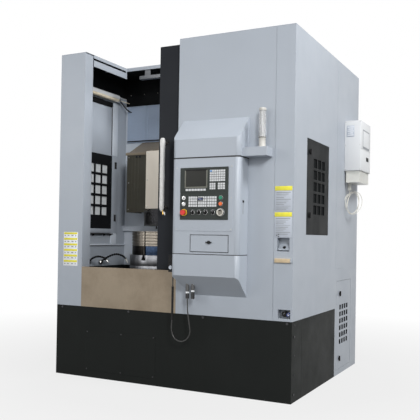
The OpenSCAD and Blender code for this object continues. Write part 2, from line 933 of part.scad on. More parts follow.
module console_box() {
    color([0.75, 0.8, 0.86]) difference() {
        union() {
            difference() {
                intersection() {
                    con_bar(0, con_low, con_split);
                    con_profile(0);
                }
                intersection() {
                    con_bar(con_wall, con_low, con_split - con_wall, over);
                    con_profile(con_wall);
                }
                con_corner(0);
            }
            difference() {
                intersection() {
                    con_corner(con_wall * 2);
                    con_bar(0, con_low, con_split);
                    con_profile(0);
                }
                con_corner(0);
            }
            block([flap_x - con_wall, flap_x + flap_w + con_wall],
                [-con_d + con_wall / 2, -con_d + flap_room + con_wall],
                [flap_low - con_wall, flap_low + flap_h + con_wall]);
        }
        block([flap_x, flap_x + flap_w], [-con_d - over, -con_d + flap_room],
            [flap_low, flap_low + flap_h]);
        rod_x(flap_pin_d, flap_pin_z, pin_r + run, flap_x - con_wall - over,
            flap_x + flap_w + con_wall + over);
        difference() {
            con_bar(-over, con_groove_z, con_groove_z + groove_w);
            con_bar(groove_cut, con_groove_z - over, con_groove_z + groove_w + over);
        }
        block([con_x + con_w - con_wall - over, con_x + con_w + over], [-side_slot_out - side_slot_w / 2,
            -side_slot_out + side_slot_w / 2], [side_slot_low, side_slot_low + side_slot_h]);
        control_holes();
    }
}

// Side profile of the hood: upright front, sloping roof
module hood_profile(drop) {
    translate([con_x + con_w + over, at_d(0), 0]) rotate([90, 0, -90]) linear_extrude(con_w + over * 2)
        polygon([[-over, con_split], [con_d + over, con_split], [con_d + over, con_hood - drop],
            [con_d, con_hood - drop], [0, con_top - drop], [-over, con_top - drop]]);
}

// Hood over the console; a recessed floor joins it to the box
module console_hood() {
    floor_z = con_split + split_gap;
    color([0.77, 0.82, 0.88]) {
        difference() {
            intersection() {
                con_bar(0, floor_z, con_top);
                hood_profile(0);
            }
            intersection() {
                con_bar(con_wall, floor_z + con_wall, con_top, over);
                hood_profile(con_wall);
            }
        }
        con_bar(con_wall * 2, con_split, floor_z + con_wall);
    }
}

module operator_plate() {
    color([0.72, 0.76, 0.8]) difference() {
        block([op_x, op_x + op_w], [-con_d - op_t, -con_d], [op_low, op_low + op_h]);
        control_holes();
    }
}

face_d = -con_d - op_t;
module cnc_unit() {
    color([0.12, 0.13, 0.15]) difference() {
        block([unit_x, unit_x + unit_w], [face_d - cnc_t, face_d], [cnc_low, cnc_low + cnc_h]);
        block([screen_x, screen_x + screen_w], [face_d - cnc_t - over, face_d - cnc_t + screen_t],
            [screen_low, screen_low + screen_h]);
    }
}

module cnc_screen() {
    color([0.05, 0.07, 0.1]) block([screen_x, screen_x + screen_w],
        [face_d - cnc_t, face_d - cnc_t + screen_t],
        [screen_low, screen_low + screen_h]);
}

// One field of keys from its shares of a unit
module key_field(f, low, h, t) {
    x0 = unit_x + unit_w * f[0];
    pitch_x = unit_w * (f[1] - f[0]) / f[4];
    z0 = low + h * f[2];
    pitch_z = h * (f[3] - f[2]) / f[5];
    for (i = [0 : f[4] - 1], k = [0 : f[5] - 1]) {
        x = x0 + pitch_x * i;
        z = z0 + pitch_z * k;
        block([x, x + pitch_x * key_fill_share], [face_d - t - key_t, face_d - t],
            [z, z + pitch_z * key_fill_share]);
    }
}

module film_keys() {
    color([0.85, 0.86, 0.86]) {
        for (f = cnc_key_shares) key_field(f, cnc_low, cnc_h, cnc_t);
        for (f = panel_key_shares) key_field(f, panel_low, panel_h, panel_t);
    }
}

panel_d = face_d - panel_t;
module control_panel() {
    color([0.14, 0.15, 0.17]) difference() {
        union() {
            block([unit_x, unit_x + unit_w], [panel_d, face_d], [panel_low, panel_low + panel_h]);
            rod_d(left_x, row_z, ring_r, panel_d - ring_h, panel_d);
            for (z = [lower_z, upper_z]) rod_d(right_x, z, bezel_r, panel_d - bezel_h, panel_d);
            for (z = [lower_z, upper_z]) rod_d(left_x, z, port_r, panel_d - port_h, panel_d);
        }
        translate([0, -ring_h - over, 0]) control_holes();
        control_holes();
    }
}

// Push button: cap in front, stem through the panel
module push(x, z, r, h, base, press) {
    rod_d(x, z, r, panel_d - base - press - run - h, panel_d - base - press - run);
    rod_d(x, z, stem_r, panel_d - base - press - run - over, panel_d - base - press + stem_l);
}

module estop_button() {
    color([0.75, 0.1, 0.08]) push(left_x, row_z, estop_r, estop_h, ring_h, estop_press);
}

module start_button() {
    color([0.1, 0.6, 0.25]) push(right_x, upper_z, button_r, button_h, bezel_h, button_press);
}

module stop_button() {
    color([0.9, 0.4, 0.1]) push(right_x, lower_z, button_r, button_h, bezel_h, button_press);
}

module mpg_dial() {
    color([0.75, 0.76, 0.78]) {
        rod_d(right_x, row_z, dial_r, panel_d - run - dial_h, panel_d - run);
        rod_d(right_x, row_z, stem_r, panel_d - run - over, panel_d + stem_l);
        rod_d(right_x, row_z + dial_grip_at, dial_grip_r, panel_d - run - dial_h - dial_grip_h,
            panel_d - run - dial_h);
    }
}

module selector(x) {
    color([0.1, 0.1, 0.11]) {
        rod_d(x, row_z, selector_r, panel_d - run - selector_h / 2, panel_d - run);
        block([x - stem_r / 2, x + stem_r / 2],
            [panel_d - run - selector_h, panel_d - run - selector_h / 2],
            [row_z - selector_r * wing_share, row_z + selector_r * wing_share]);
        rod_d(x, row_z, stem_r, panel_d - run - over, panel_d + stem_l);
    }
}

module selector_1() {
    selector(selector_x[0]);
}

module selector_2() {
    selector(selector_x[1]);
}

module selector_3() {
    selector(selector_x[2]);
}

module selector_4() {
    selector(selector_x[3]);
}

// Drop flap of the console pocket with stubs at its lower edge
flap_mid_x = flap_x + flap_w / 2;
flap_latch_z = flap_low + flap_h * flap_latch_share;
module console_flap() {
    color([0.74, 0.79, 0.85]) difference() {
        union() {
            block([flap_x + reveal, flap_x + flap_w - reveal], [-con_d, -con_d + flap_t],
                [flap_pin_z, flap_low + flap_h - reveal]);
            rod_x(flap_pin_d, flap_pin_z, flap_t / 2, flap_x + reveal, flap_x + flap_w - reveal);
            rod_x(flap_pin_d, flap_pin_z, pin_r, flap_x - pin_l, flap_x + flap_w + pin_l);
        }
        rod_d(flap_mid_x, flap_latch_z, shaft_r + run, -con_d - over, -con_d + flap_t + over);
    }
}

module flap_latch() {
    color([0.08, 0.08, 0.09]) {
        rod_d(flap_mid_x, flap_latch_z, latch_r, -con_d - run - latch_h, -con_d - run);
        block([flap_mid_x - wing_l / 2, flap_mid_x + wing_l / 2],
            [-con_d - run - latch_h - bezel_h, -con_d - run - latch_h
            / 2], [flap_latch_z - wing_w / 2, flap_latch_z + wing_w / 2]);
        rod_d(flap_mid_x, flap_latch_z, shaft_r, -con_d - run - over, -con_d + flap_t + cam_t + run);
        block([flap_mid_x - cam_w / 2, flap_mid_x + cam_l],
            [-con_d + flap_t + run, -con_d + flap_t + run + cam_t],
            [flap_latch_z - cam_w / 2, flap_latch_z + cam_w / 2]);
    }
}

// Bracket beside the hood and the signal light on it
tower_x = con_x + con_w + tower_in;
module tower_bracket() {
    x = [con_x + con_w, con_x + con_w + bracket_w];
    z = [bracket_low, bracket_low + bracket_h];
    color([0.76, 0.81, 0.87]) difference() {
        block(x, [-bracket_d, 0], z);
        block(x + [con_wall, -con_wall], [-bracket_d + con_wall, over], z + [con_wall, -con_wall]);
    }
}

module tower_light() {
    z0 = bracket_low + bracket_h;
    foot = tower_h * tower_foot_share;
    mid = tower_h * tower_mid_share;
    color([0.85, 0.86, 0.87]) {
        rod_z(tower_x, -tower_out, tower_r, z0, z0 + foot);
        rod_z(tower_x, -tower_out, tower_r - tower_step, z0 + foot, z0 + foot + mid);
        rod_z(tower_x, -tower_out, tower_r, z0 + foot + mid, z0 + tower_h);
    }
}

// Pump box on the right side, its tank, the spout and a hank of hose
module lube_pump() {
    d = [pump_d, pump_d + pump_w];
    z = [pump_low, pump_low + pump_h];
    color([0.93, 0.93, 0.92]) difference() {
        block([side_x, side_x + pump_out], d, z);
        block([side_x - over, side_x + pump_out - sheet], d + [sheet, -sheet], z + [sheet, -sheet]);
    }
}

module lube_tank() {
    color([0.85, 0.87, 0.86]) {
        block([side_x + tank_inset, side_x + pump_out - tank_inset],
            [pump_d + tank_inset, pump_d + pump_w - tank_inset],
            [pump_low - tank_h, pump_low]);
        rod_z(side_x + tank_inset + spout_r, pump_d + spout_d, spout_r, pump_low - tank_h - spout_l,
            pump_low - tank_h);
    }
}

coil_z = pump_low - tank_h - spout_l - coil_r - coil_t / 2 + coil_sink;
module lube_coil() {
    color([0.8, 0.84, 0.85]) translate([side_x, at_d(pump_d + spout_d), coil_z]) rotate([0, 90,
        0]) rotate_extrude()
        translate([coil_r - coil_t / 2, 0]) square([coil_t, coil_w]);
}

// Hand pendant hooked on the left face of the console
pend_x = con_x - hook_t - pend_w;
module pendant() {
    mid_d = -pend_front + pend_d / 2;
    color([0.1, 0.1, 0.11]) {
        block([pend_x, pend_x + pend_w], [-pend_front, -pend_front + pend_d],
            [pend_low, pend_low + pend_h]);
        block([pend_x + pend_w, con_x], [mid_d - hook_w / 2, mid_d + hook_w / 2], [pend_low + pend_h / 2,
            pend_low + pend_h + hook_w]);
        rod_z(pend_x + gland_in, mid_d, gland_r, pend_low - gland_l, pend_low);
    }
}

module pendant_cord() {
    color([0.12, 0.12, 0.13]) translate([0, at_d(0), 0]) sweep(route(cord_route, cord_steps), cord_r,
        cord_sides);
}

module cord_plugs() {
    color([0.1, 0.1, 0.11]) for (x = plug_x) rod_z(x, -plug_out, plug_r, plug_low, plug_low + plug_l);
}

module air_fittings() {
    color([0.09, 0.1, 0.12]) {
        rod_d(air_x + air_w * gauge_share, air_low + air_h / 2, gauge_r, pocket_d - gauge_t, pocket_d);
        rod_d(air_x + air_w * valve_share, air_low + air_h / 2, valve_r, pocket_d - valve_out, pocket_d);
    }
}

// Sliding door: tray-shaped leaf, roof leaf and shoes on the upper rail
leaf_low = rail_top + run;
glass_x = door_x + (door_w - glass_w) * glass_x_share;
module door_panel() {
    color([0.2, 0.21, 0.24]) difference() {
        union() {
            block([door_x, door_x + door_w], [door_gap, door_gap + door_t], [leaf_low, door_top]);
            block([door_x, door_x + door_w], [door_gap, roof_cut_d - roof_leaf_end],
                [door_top, door_top + roof_leaf_t]);
            for (x = [door_x + shoe_inset, door_x + door_w - shoe_inset - shoe_w]) {
                block([x, x + shoe_w], [top_rail_d + rail_inset, top_rail_d + rail_inset + shoe_t],
                    [top_rail_z + run, door_top]);
            }
        }
        block([door_x + leaf_border, glass_x - leaf_border],
            [door_gap + leaf_skin, door_gap + door_t + over],
            [leaf_low + leaf_border, door_top - leaf_border]);
        block([glass_x + glass_w + leaf_border, door_x + door_w - leaf_border],
            [door_gap + leaf_skin, door_gap + door_t + over],
            [leaf_low + leaf_border, door_top - leaf_border]);
        for (z = [[leaf_low + leaf_border, glass_low - leaf_border],
            [glass_low + glass_h + leaf_border, door_top - leaf_border]]) {
            block([glass_x, glass_x + glass_w], [door_gap + leaf_skin, door_gap + door_t + over], z);
        }
        block([glass_x, glass_x + glass_w], [door_gap - over, door_gap + door_t + over],
            [glass_low, glass_low + glass_h]);
    }
}

module door_glass() {
    color([0.55, 0.6, 0.62]) block([glass_x, glass_x + glass_w],
        [door_gap + door_t / 2 - glass_t / 2, door_gap + door_t / 2 + glass_t / 2],
        [glass_low, glass_low + glass_h]);
}

module door_handle() {
    x = door_x + handle_in;
    color([0.93, 0.93, 0.92]) {
        rod_z(x, door_gap - handle_out, handle_r, handle_low, handle_low + handle_h);
        for (z = [handle_low + handle_foot, handle_low + handle_h - handle_foot]) {
            rod_d(x, z, handle_r, door_gap - handle_out, door_gap);
        }
    }
}

// Saddle on the column rails: carriage, neck through the back wall, block with upright rails
block_top = block_low + block_h;
module saddle() {
    color([0.45, 0.47, 0.5]) difference() {
        union() {
            block([spindle_x - carriage_w / 2, spindle_x + carriage_w / 2],
                [liner_d + sheet + carriage_gap, column_d - run],
                [carriage_low, carriage_low + carriage_h]);
            block([spindle_x - neck_w / 2, spindle_x + neck_w / 2],
                [saddle_face_d + sheet, column_d - x_rail_d - run],
                [neck_low, neck_low + neck_h]);
            block([spindle_x - spine_w / 2, spindle_x + spine_w / 2], [saddle_face_d + sheet, roof_back_d],
                [block_low, block_top]);
            for (x = [spindle_x - z_rail_x, spindle_x + z_rail_x]) {
                block([x - z_rail_w / 2, x + z_rail_w / 2],
                    [saddle_face_d - z_rail_out, saddle_face_d + sheet],
                    [block_low, block_top]);
            }
        }
        for (z = x_rail_z) {
            block([spindle_x - carriage_w / 2 - over, spindle_x + carriage_w / 2 + over],
                [column_d - x_rail_d - run, column_d], [z - x_rail_h / 2 - run, z + x_rail_h / 2 + run]);
        }
    }
}

// Stainless cover over the saddle: front plate, cheeks and a sloping roof
module saddle_side(t) {
    rotate([90, 0, 90]) linear_extrude(t) polygon([[at_d(saddle_face_d), saddle_low],
        [at_d(roof_back_d), saddle_low],
        [at_d(roof_back_d), saddle_ridge], [at_d(saddle_face_d), saddle_lip]]);
}

module saddle_cover() {
    x0 = spindle_x - saddle_w / 2;
    color([0.58, 0.53, 0.47]) difference() {
        translate([x0, 0, 0]) saddle_side(saddle_w);
        translate([x0 + sheet, sheet, -sheet]) saddle_side(saddle_w - sheet * 2);
        block([x0 + sheet, x0 + saddle_w - sheet], [saddle_face_d + sheet, roof_back_d + over],
            [saddle_low - over, saddle_lip - sheet]);
        for (x = [spindle_x - z_rail_x, spindle_x + z_rail_x]) {
            block([x - z_rail_w / 2, x + z_rail_w / 2],
                [saddle_face_d - over, saddle_face_d + sheet + over],
                [block_low, block_top]);
        }
    }
}

// Beige ram cover, open below and behind
ram_x = [spindle_x - ram_w / 2, spindle_x + ram_w / 2];
ram_back_d = saddle_face_d - reveal;
module ram_cover() {
    color([0.78, 0.74, 0.64]) difference() {
        block(ram_x, [ram_face_d, ram_back_d], [ram_low, ram_top]);
        block(ram_x + [sheet, -sheet], [ram_face_d + sheet, ram_back_d + over],
            [ram_low - over, ram_top - sheet]);
        rail_grooves();
    }
}

// Grooves that run on the upright rails of the saddle
module rail_grooves() {
    for (x = [spindle_x - z_rail_x, spindle_x + z_rail_x]) {
        block([x - z_rail_w / 2 - run, x + z_rail_w / 2 + run],
            [saddle_face_d - z_rail_out - run, saddle_face_d], [head_low - over, ram_top + over]);
    }
}

// Turret housing: spine inside the ram cover, head below, coolant nozzles
spine_back_d = saddle_face_d - run;
module turret_housing() {
    color([0.12, 0.12, 0.13]) {
        difference() {
            union() {
                block([spindle_x - spine_w / 2, spindle_x + spine_w / 2],
                    [ram_face_d + sheet, spine_back_d], [head_low, ram_top - sheet]);
                block(ram_x + [-head_lap, head_lap], [ram_face_d + sheet, spine_back_d],
                    [head_low, head_low + head_h]);
            }
            rail_grooves();
            rod_d(spindle_x, turret_z, hub_r + run, ram_face_d, ram_face_d + sheet + hub_l);
        }
        for (x = [spindle_x - nozzle_x, spindle_x + nozzle_x]) {
            rod_z(x, ram_face_d + spine_w / 4, nozzle_r, head_low - nozzle_l, head_low);
        }
    }
}

// Square turret with a boss in front, tool shanks on three sides and its shaft behind
disc_back_d = ram_face_d + sheet - disc_gap;
module tool_shank(angle, place, w) {
    rotate([0, 0, angle]) translate([turret_r - over, place - w / 2, turret_t / 2 - tool_t / 2])
        cube([tool_out + over, w, tool_t]);
}

module turret_disc() {
    color([0.16, 0.16, 0.17]) translate([spindle_x, at_d(disc_back_d - turret_t), turret_z])
        rotate([-90, 0, 0]) {
        linear_extrude(turret_t) intersection_for (k = [0 : stations / 2 - 1]) {
            rotate(k * 360 / stations) square([turret_r * 2, turret_r * 4], center = true);
        }
        tool_shank(tool_angle, 0, tool_w);
        for (angle = side_angles) {
            for (place = side_places) tool_shank(angle, place, side_w);
        }
        translate([0, 0, -boss_t]) cylinder(r = boss_r, h = boss_t + over);
        translate([0, 0, turret_t - over]) cylinder(r = hub_r, h = hub_l + over);
    }
}

// Chuck with its spindle: radial T-slots in the face, a grooved rim
chuck_low = chuck_top - chuck_h;
module chuck() {
    color([0.72, 0.73, 0.74]) translate([spindle_x, at_d(spindle_d), 0]) difference() {
        union() {
            translate([0, 0, chuck_low]) cylinder(r = chuck_r, h = chuck_h);
            translate([0, 0, housing_top + run]) cylinder(r = collar_r, h = chuck_low - housing_top);
            translate([0, 0, shaft_low]) cylinder(r = spindle_r, h = chuck_low - shaft_low);
        }
        translate([0, 0, chuck_top - chuck_hole_h]) cylinder(r = chuck_hole_r, h = chuck_hole_h + over);
        for (k = [0 : slots - 1]) rotate([0, 0, k * 360 / slots - 90]) {
            translate([slot_in, -slot_w / 2, chuck_top - slot_neck]) cube([chuck_r, slot_w,
                slot_neck + over]);
            translate([slot_in, -tee_w / 2, chuck_top - slot_neck - tee_h]) cube([chuck_r, tee_w, tee_h]);
        }
        translate([0, 0, chuck_low + chuck_h / 3]) rotate_extrude() translate([chuck_r - rim_groove / 2, 0])
            square([rim_groove, rim_groove / 2]);
    }
}

// Sector of a ring between two radii, gaps on both sides
module sector(r_in, r_out, z0, z1) {
    difference() {
        translate([0, 0, z0]) cylinder(r = r_out, h = z1 - z0);
        translate([0, 0, z0 - over]) cylinder(r = r_in, h = z1 - z0 + over * 2);
        for (m = [0, 1]) mirror([0, m, 0]) rotate([0, 0, 60]) translate([-r_out * 2, -jaw_gap / 2,
            z0 - over])
            cube([r_out * 4, r_out * 2, z1 - z0 + over * 2]);
    }
}

// Ring jaw: key in the T-slot, dark base, grooved ring segment
module jaw(k) {
    base_z = chuck_top + run;
    ring_z = chuck_top + jaw_base_h;
    ring_top = ring_z + jaw_ring_h;
    pitch = jaw_ring_h / jaw_grooves;
    key_l = jaw_r - jaw_foot_bore - jaw_gap * 3;
    color([0.76, 0.77, 0.78]) translate([spindle_x, at_d(spindle_d), 0]) rotate([0, 0, jaw_angles[k]]) {
        difference() {
            union() {
                sector(jaw_foot_bore, jaw_r - jaw_step, base_z, ring_z + over);
                sector(jaw_bore, jaw_r, ring_z, ring_top);
            }
            for (g = [0 : jaw_grooves - 1]) translate([0, 0,
                ring_z + pitch * (g + 1 / 2) - pitch * groove_share / 2])
                rotate_extrude() translate([jaw_r - groove_deep, 0]) square([groove_deep + over,
                    pitch * groove_share]);
        }
        translate([jaw_foot_bore + jaw_gap, -slot_w / 2 + run, chuck_top - slot_neck - tee_h / 2])
            cube([key_l, slot_w - run * 2, slot_neck + tee_h / 2 + over]);
        translate([jaw_foot_bore + jaw_gap, -tee_w / 2 + run, chuck_top - slot_neck - tee_h + run])
            cube([key_l, tee_w - run * 2, tee_h - run * 2]);
    }
}

module jaw_a() {
    jaw(0);
}

module jaw_b() {
    jaw(1);
}

module jaw_c() {
    jaw(2);
}

// Leaf of a side door: sheet with vents, hinge tube on its rear edge, latch holes
module side_leaf(d, w, z, h, cols, rows, ds, zs, fill, latch_d, latch_zs) {
    axis_d = d + w - reveal - hinge_r;
    difference() {
        union() {
            block([side_x - leaf_t, side_x], [d + reveal, axis_d], [z + reveal, z + h - reveal]);
            rod_z(side_x - hinge_r, axis_d, hinge_r, z + reveal, z + h - reveal);
            rod_z(side_x - hinge_r, axis_d, stub_r, z - stub_l, z + h + stub_l);
        }
        side_vents(side_x, cols, rows, [for (s = ds) d + w * s], [for (s = zs) z + h * s], fill);
        for (s = latch_zs) rod_x(d + latch_d, z + h * s, shaft_r + run, side_x - leaf_t - over,
            side_x + over);
    }
}

module vent_door() {
    color([0.36, 0.38, 0.41]) side_leaf(vent_d, vent_w, vent_low, vent_h, vent_cols, vent_rows,
        vent_x_shares,
        vent_z_shares, vent_fill_share, vent_latch_in, vent_latch_shares);
}

module rear_door() {
    color([0.83, 0.84, 0.85]) side_leaf(rear_d, rear_w, rear_low, rear_h, rear_cols, rear_rows,
        rear_x_shares,
        rear_z_shares, rear_fill_share, rear_latch_in, rear_latch_shares);
}

// Quarter-turn latch: knob and lever outside, cam inside
module side_latch(d, z) {
    color([0.07, 0.07, 0.08]) {
        rod_x(d, z, knob_r, side_x + run, side_x + run + knob_h);
        block([side_x + run + knob_h / 2, side_x + run + knob_h + lever_h],
            [d - lever_w / 2, d + lever_w / 2],
            [z - lever_l / 2, z + lever_l / 2]);
        rod_x(d, z, shaft_r, side_x - leaf_t - run - cam_t, side_x + run + over);
        block([side_x - leaf_t - run - cam_t, side_x - leaf_t - run], [d - cam_l, d + cam_w / 2],
            [z - cam_w / 2, z + cam_w / 2]);
    }
}

module vent_latch_lower() {
    side_latch(vent_d + vent_latch_in, vent_low + vent_h * vent_latch_shares[0]);
}

module vent_latch_upper() {
    side_latch(vent_d + vent_latch_in, vent_low + vent_h * vent_latch_shares[1]);
}

module rear_latch_lower() {
    side_latch(rear_d + rear_latch_in, rear_low + rear_h * rear_latch_shares[0]);
}

module rear_latch_upper() {
    side_latch(rear_d + rear_latch_in, rear_low + rear_h * rear_latch_shares[1]);
}

frame_casting();
spindle_housing();
base_skirts();
skirt_bolts();
left_wall();
left_grille();
right_wall();
back_panel();
roof();
door_rails();
front_panel();
apron();
inner_liner();
way_cover();
chip_pan();
work_lamp();
console_box();
console_hood();
operator_plate();
cnc_unit();
cnc_screen();
film_keys();
control_panel();
tower_bracket();
tower_light();
lube_pump();
lube_tank();
lube_coil();
pendant();
pendant_cord();
cord_plugs();
air_fittings();
door_panel();
door_glass();
door_handle();
saddle();
saddle_cover();
ram_cover();
turret_housing();
turret_disc();
chuck();
jaw_a();
jaw_b();
jaw_c();
vent_door();
vent_latch_upper();
vent_latch_lower();
rear_door();
rear_latch_upper();
rear_latch_lower();
console_flap();
flap_latch();
estop_button();
start_button();
stop_button();
mpg_dial();
selector_1();
selector_2();
selector_3();
selector_4();
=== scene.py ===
"""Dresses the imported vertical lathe: finishes, fittings, cords and a plain studio."""

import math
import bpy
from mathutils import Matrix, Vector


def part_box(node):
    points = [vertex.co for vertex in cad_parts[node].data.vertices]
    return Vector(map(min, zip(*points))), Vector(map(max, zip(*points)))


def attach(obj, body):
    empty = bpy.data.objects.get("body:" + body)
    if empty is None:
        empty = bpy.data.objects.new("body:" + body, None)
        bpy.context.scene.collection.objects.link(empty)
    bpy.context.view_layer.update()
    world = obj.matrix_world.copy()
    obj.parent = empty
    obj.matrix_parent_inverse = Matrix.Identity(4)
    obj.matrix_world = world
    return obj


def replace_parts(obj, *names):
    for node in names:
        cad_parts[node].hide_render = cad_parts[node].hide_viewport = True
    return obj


bl_info = {
    "name": "Vertical lathe dressing",
    "version": (1, 0, 0),
    "blender": (4, 5, 0),
    "location": "3D View > Sidebar > Lathe",
    "description": "Finishes and small fittings for an enclosed vertical lathe",
    "category": "Object",
}

import bmesh
import bpy
from bpy.props import FloatProperty, FloatVectorProperty, PointerProperty
from mathutils import Matrix, Vector

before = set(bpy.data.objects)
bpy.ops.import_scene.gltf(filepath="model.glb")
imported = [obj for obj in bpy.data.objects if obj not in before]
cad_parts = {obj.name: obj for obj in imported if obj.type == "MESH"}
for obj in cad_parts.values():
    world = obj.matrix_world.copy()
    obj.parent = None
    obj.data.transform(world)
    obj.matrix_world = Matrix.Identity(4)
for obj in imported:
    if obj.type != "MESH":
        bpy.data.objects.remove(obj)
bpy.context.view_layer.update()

# Directions of a plate on the front and on the right side: across, up
FRONT = (Vector((1, 0, 0)), Vector((0, 0, 1)))
RIGHT = (Vector((0, 1, 0)), Vector((0, 0, 1)))

AHEAD = (0, -1, 0)
UPRIGHT = (0, 0, 1)

FRONT_Y = -0.905
DOOR_Y = -0.865
HANDLE_X = -0.020
SPINDLE = (-0.355, -0.405, 0.0)
TURRET_Z = 1.364
SELECTOR_X = (0.338, 0.390, 0.445, 0.507)
DIAL_X = 0.572
STOP_X = 0.264
ROW_Z = 1.374
BUTTON_Z = (1.482, 1.437)
DISH_DEPTH = 0.0164
LABEL_X = 1.1235
STRIP_X = 0.9915
PILLAR_X = -0.936
SKIN_X = 0.0015
WALL_X = -1.066
CONSOLE_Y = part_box("console_box")[0].y
PLATE_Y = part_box("operator_plate")[0].y
UNIT_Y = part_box("cnc_unit")[0].y
PANEL_Y = UNIT_Y + 0.002
SIDE_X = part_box("right_wall")[1].x


def rgb(r, g, b):
    """Linear colour from the 0 to 255 values seen on a screen."""
    def lift(v):
        v /= 255
        return v / 12.92 if v <= 0.04045 else ((v + 0.055) / 1.055) ** 2.4
    return (lift(r), lift(g), lift(b), 1.0)


def shade(colour, factor):
    """The same colour, lighter or darker."""
    return tuple(min(1.0, c * factor) for c in colour[:3]) + (1.0,)


class Graph:
    """Nodes and links of a material or of the world."""

    def __init__(self, owner):
        owner.use_nodes = True
        self.tree = owner.node_tree

    def feed(self, node, socket, value):
        """Sets an input to a value or links it."""
        if isinstance(value, bpy.types.NodeSocket):
            self.tree.links.new(value, node.inputs[socket])
        else:
            node.inputs[socket].default_value = value

    def add(self, kind, inputs=None, **settings):
        """A new node with its settings, and with values or links on its inputs."""
        node = self.tree.nodes.new(kind)
        for name, value in settings.items():
            setattr(node, name, value)
        for socket, value in (inputs or {}).items():
            self.feed(node, socket, value)
        return node

    def spread(self, value, low, high, to_low=0.0, to_high=1.0):
        """The value moved from one range to another."""
        return self.add("ShaderNodeMapRange", {
            "Value": value, "From Min": low, "From Max": high, "To Min": to_low, "To Max": to_high,
        }).outputs["Result"]

    def combine(self, operation, a, b):
        """Two values put through an arithmetic operation."""
        return self.add("ShaderNodeMath", {0: a, 1: b}, operation=operation).outputs[0]


class Finish(Graph):
    """A procedural material on object coordinates, built up step by step."""

    def __init__(self, name, colour, rough=0.5, metal=0.0, **sockets):
        self.mat = bpy.data.materials.new(name)
        super().__init__(self.mat)
        self.shader = self.tree.nodes["Principled BSDF"]
        self.place = self.add("ShaderNodeTexCoord").outputs["Object"]
        self.put("Base Color", colour)
        self.put("Roughness", rough)
        self.put("Metallic", metal)
        for socket, value in sockets.items():
            self.put(socket.replace("_", " "), value)
        self.mat.diffuse_color = colour

    def put(self, socket, value):
        """Sets or links an input of the main shader."""
        self.feed(self.shader, socket, value)

    def noise(self, scale, detail=3.0, rough=0.55, stretch=(1, 1, 1), shift=(0, 0, 0)):
        """Soft noise, which may be stretched and shifted."""
        place = self.add("ShaderNodeMapping", {"Vector": self.place, "Scale": stretch, "Location": shift})
        return self.add("ShaderNodeTexNoise", {
            "Vector": place.outputs["Vector"], "Scale": scale, "Detail": detail, "Roughness": rough,
        }).outputs["Fac"]

    def axis(self, letter):
        """One coordinate of the place on the piece."""
        return self.add("ShaderNodeSeparateXYZ", {"Vector": self.place}).outputs[letter]

    def blend(self, share, a, b):
        """Two colours mixed by a share."""
        return self.add("ShaderNodeMix", {"Factor": share, 6: a, 7: b}, data_type="RGBA").outputs[2]

    def relief(self, height, strength, distance):
        """Fine bumps from a height."""
        bump = self.add("ShaderNodeBump", {"Strength": strength, "Distance": distance, "Height": height})
        self.put("Normal", bump.outputs["Normal"])


def coated(name, colour, rough=0.42, grain=0.1, wear=0.05, soil=0.0, shade_behind_x=None, **sockets):
    """Sprayed paint with faint clouds, fine grain and some soil low down. Deeper than the given x it is
    painted near black: painted shade inside the vent slots.
    """
    f = Finish(name, colour, rough, **sockets)
    cloud = f.spread(f.noise(1.6, 3, shift=(3, 1, 2)), 0.3, 0.7)
    tint = f.blend(cloud, shade(colour, 1 - wear * 0.6), shade(colour, 1 + wear * 0.5))
    streak = f.spread(f.noise(3.0, 4, stretch=(4, 4, 0.35)), 0.52, 0.8, 0, wear * 2)
    tint = f.blend(streak, tint, shade(colour, 0.8))
    if soil:
        low = f.spread(f.axis("Z"), 0.95, 0.58, 0, soil)
        dust = f.combine("MULTIPLY", low, f.spread(f.noise(9, 5), 0.35, 0.75))
        tint = f.blend(dust, tint, shade(colour, 0.55))
    # Painted shade: faces deeper than the outer sheet, which are the walls of the vent slots, turn near
    # black.
    if shade_behind_x:
        tint = f.blend(f.spread(f.axis("X"), shade_behind_x - 0.0003, shade_behind_x, 1, 0), tint, rgb(14, 15, 16))
    f.put("Base Color", tint)
    f.put("Roughness", f.spread(f.noise(5, 3), 0.3, 0.7, rough - 0.05, rough + 0.07))
    f.relief(f.noise(420, 2), grain, 0.0012)
    return f.mat


def brushed(name, colour, rough=0.32, along=(1, 60, 60), stain=0.0, stain_colour=None, metal=1.0,
            dust=None, dust_z=0.0):
    """Brushed sheet steel with lines along one direction, optional stains and dust above a height."""
    f = Finish(name, colour, rough, metal)
    lines = f.noise(14, 4, 0.7, stretch=along)
    tint = f.blend(f.spread(lines, 0.25, 0.75), shade(colour, 0.86), shade(colour, 1.1))
    dullness = f.spread(lines, 0.2, 0.8, rough - 0.07, rough + 0.1)
    if stain:
        spots = f.spread(f.noise(3.2, 5, 0.65, shift=(5, 2, 7)), 0.42, 0.72, 0, stain)
        tint = f.blend(spots, tint, stain_colour or shade(colour, 0.6))
        dullness = f.combine("ADD", dullness, f.combine("MULTIPLY", spots, 0.25))
    f.put("Roughness", dullness)
    if dust:
        high = f.spread(f.axis("Z"), dust_z, dust_z + 0.008)
        tint = f.blend(high, tint, dust)
        f.put("Metallic", f.spread(high, 0, 1, metal, 0.1))
    f.put("Base Color", tint)
    f.relief(lines, 0.06, 0.001)
    return f.mat


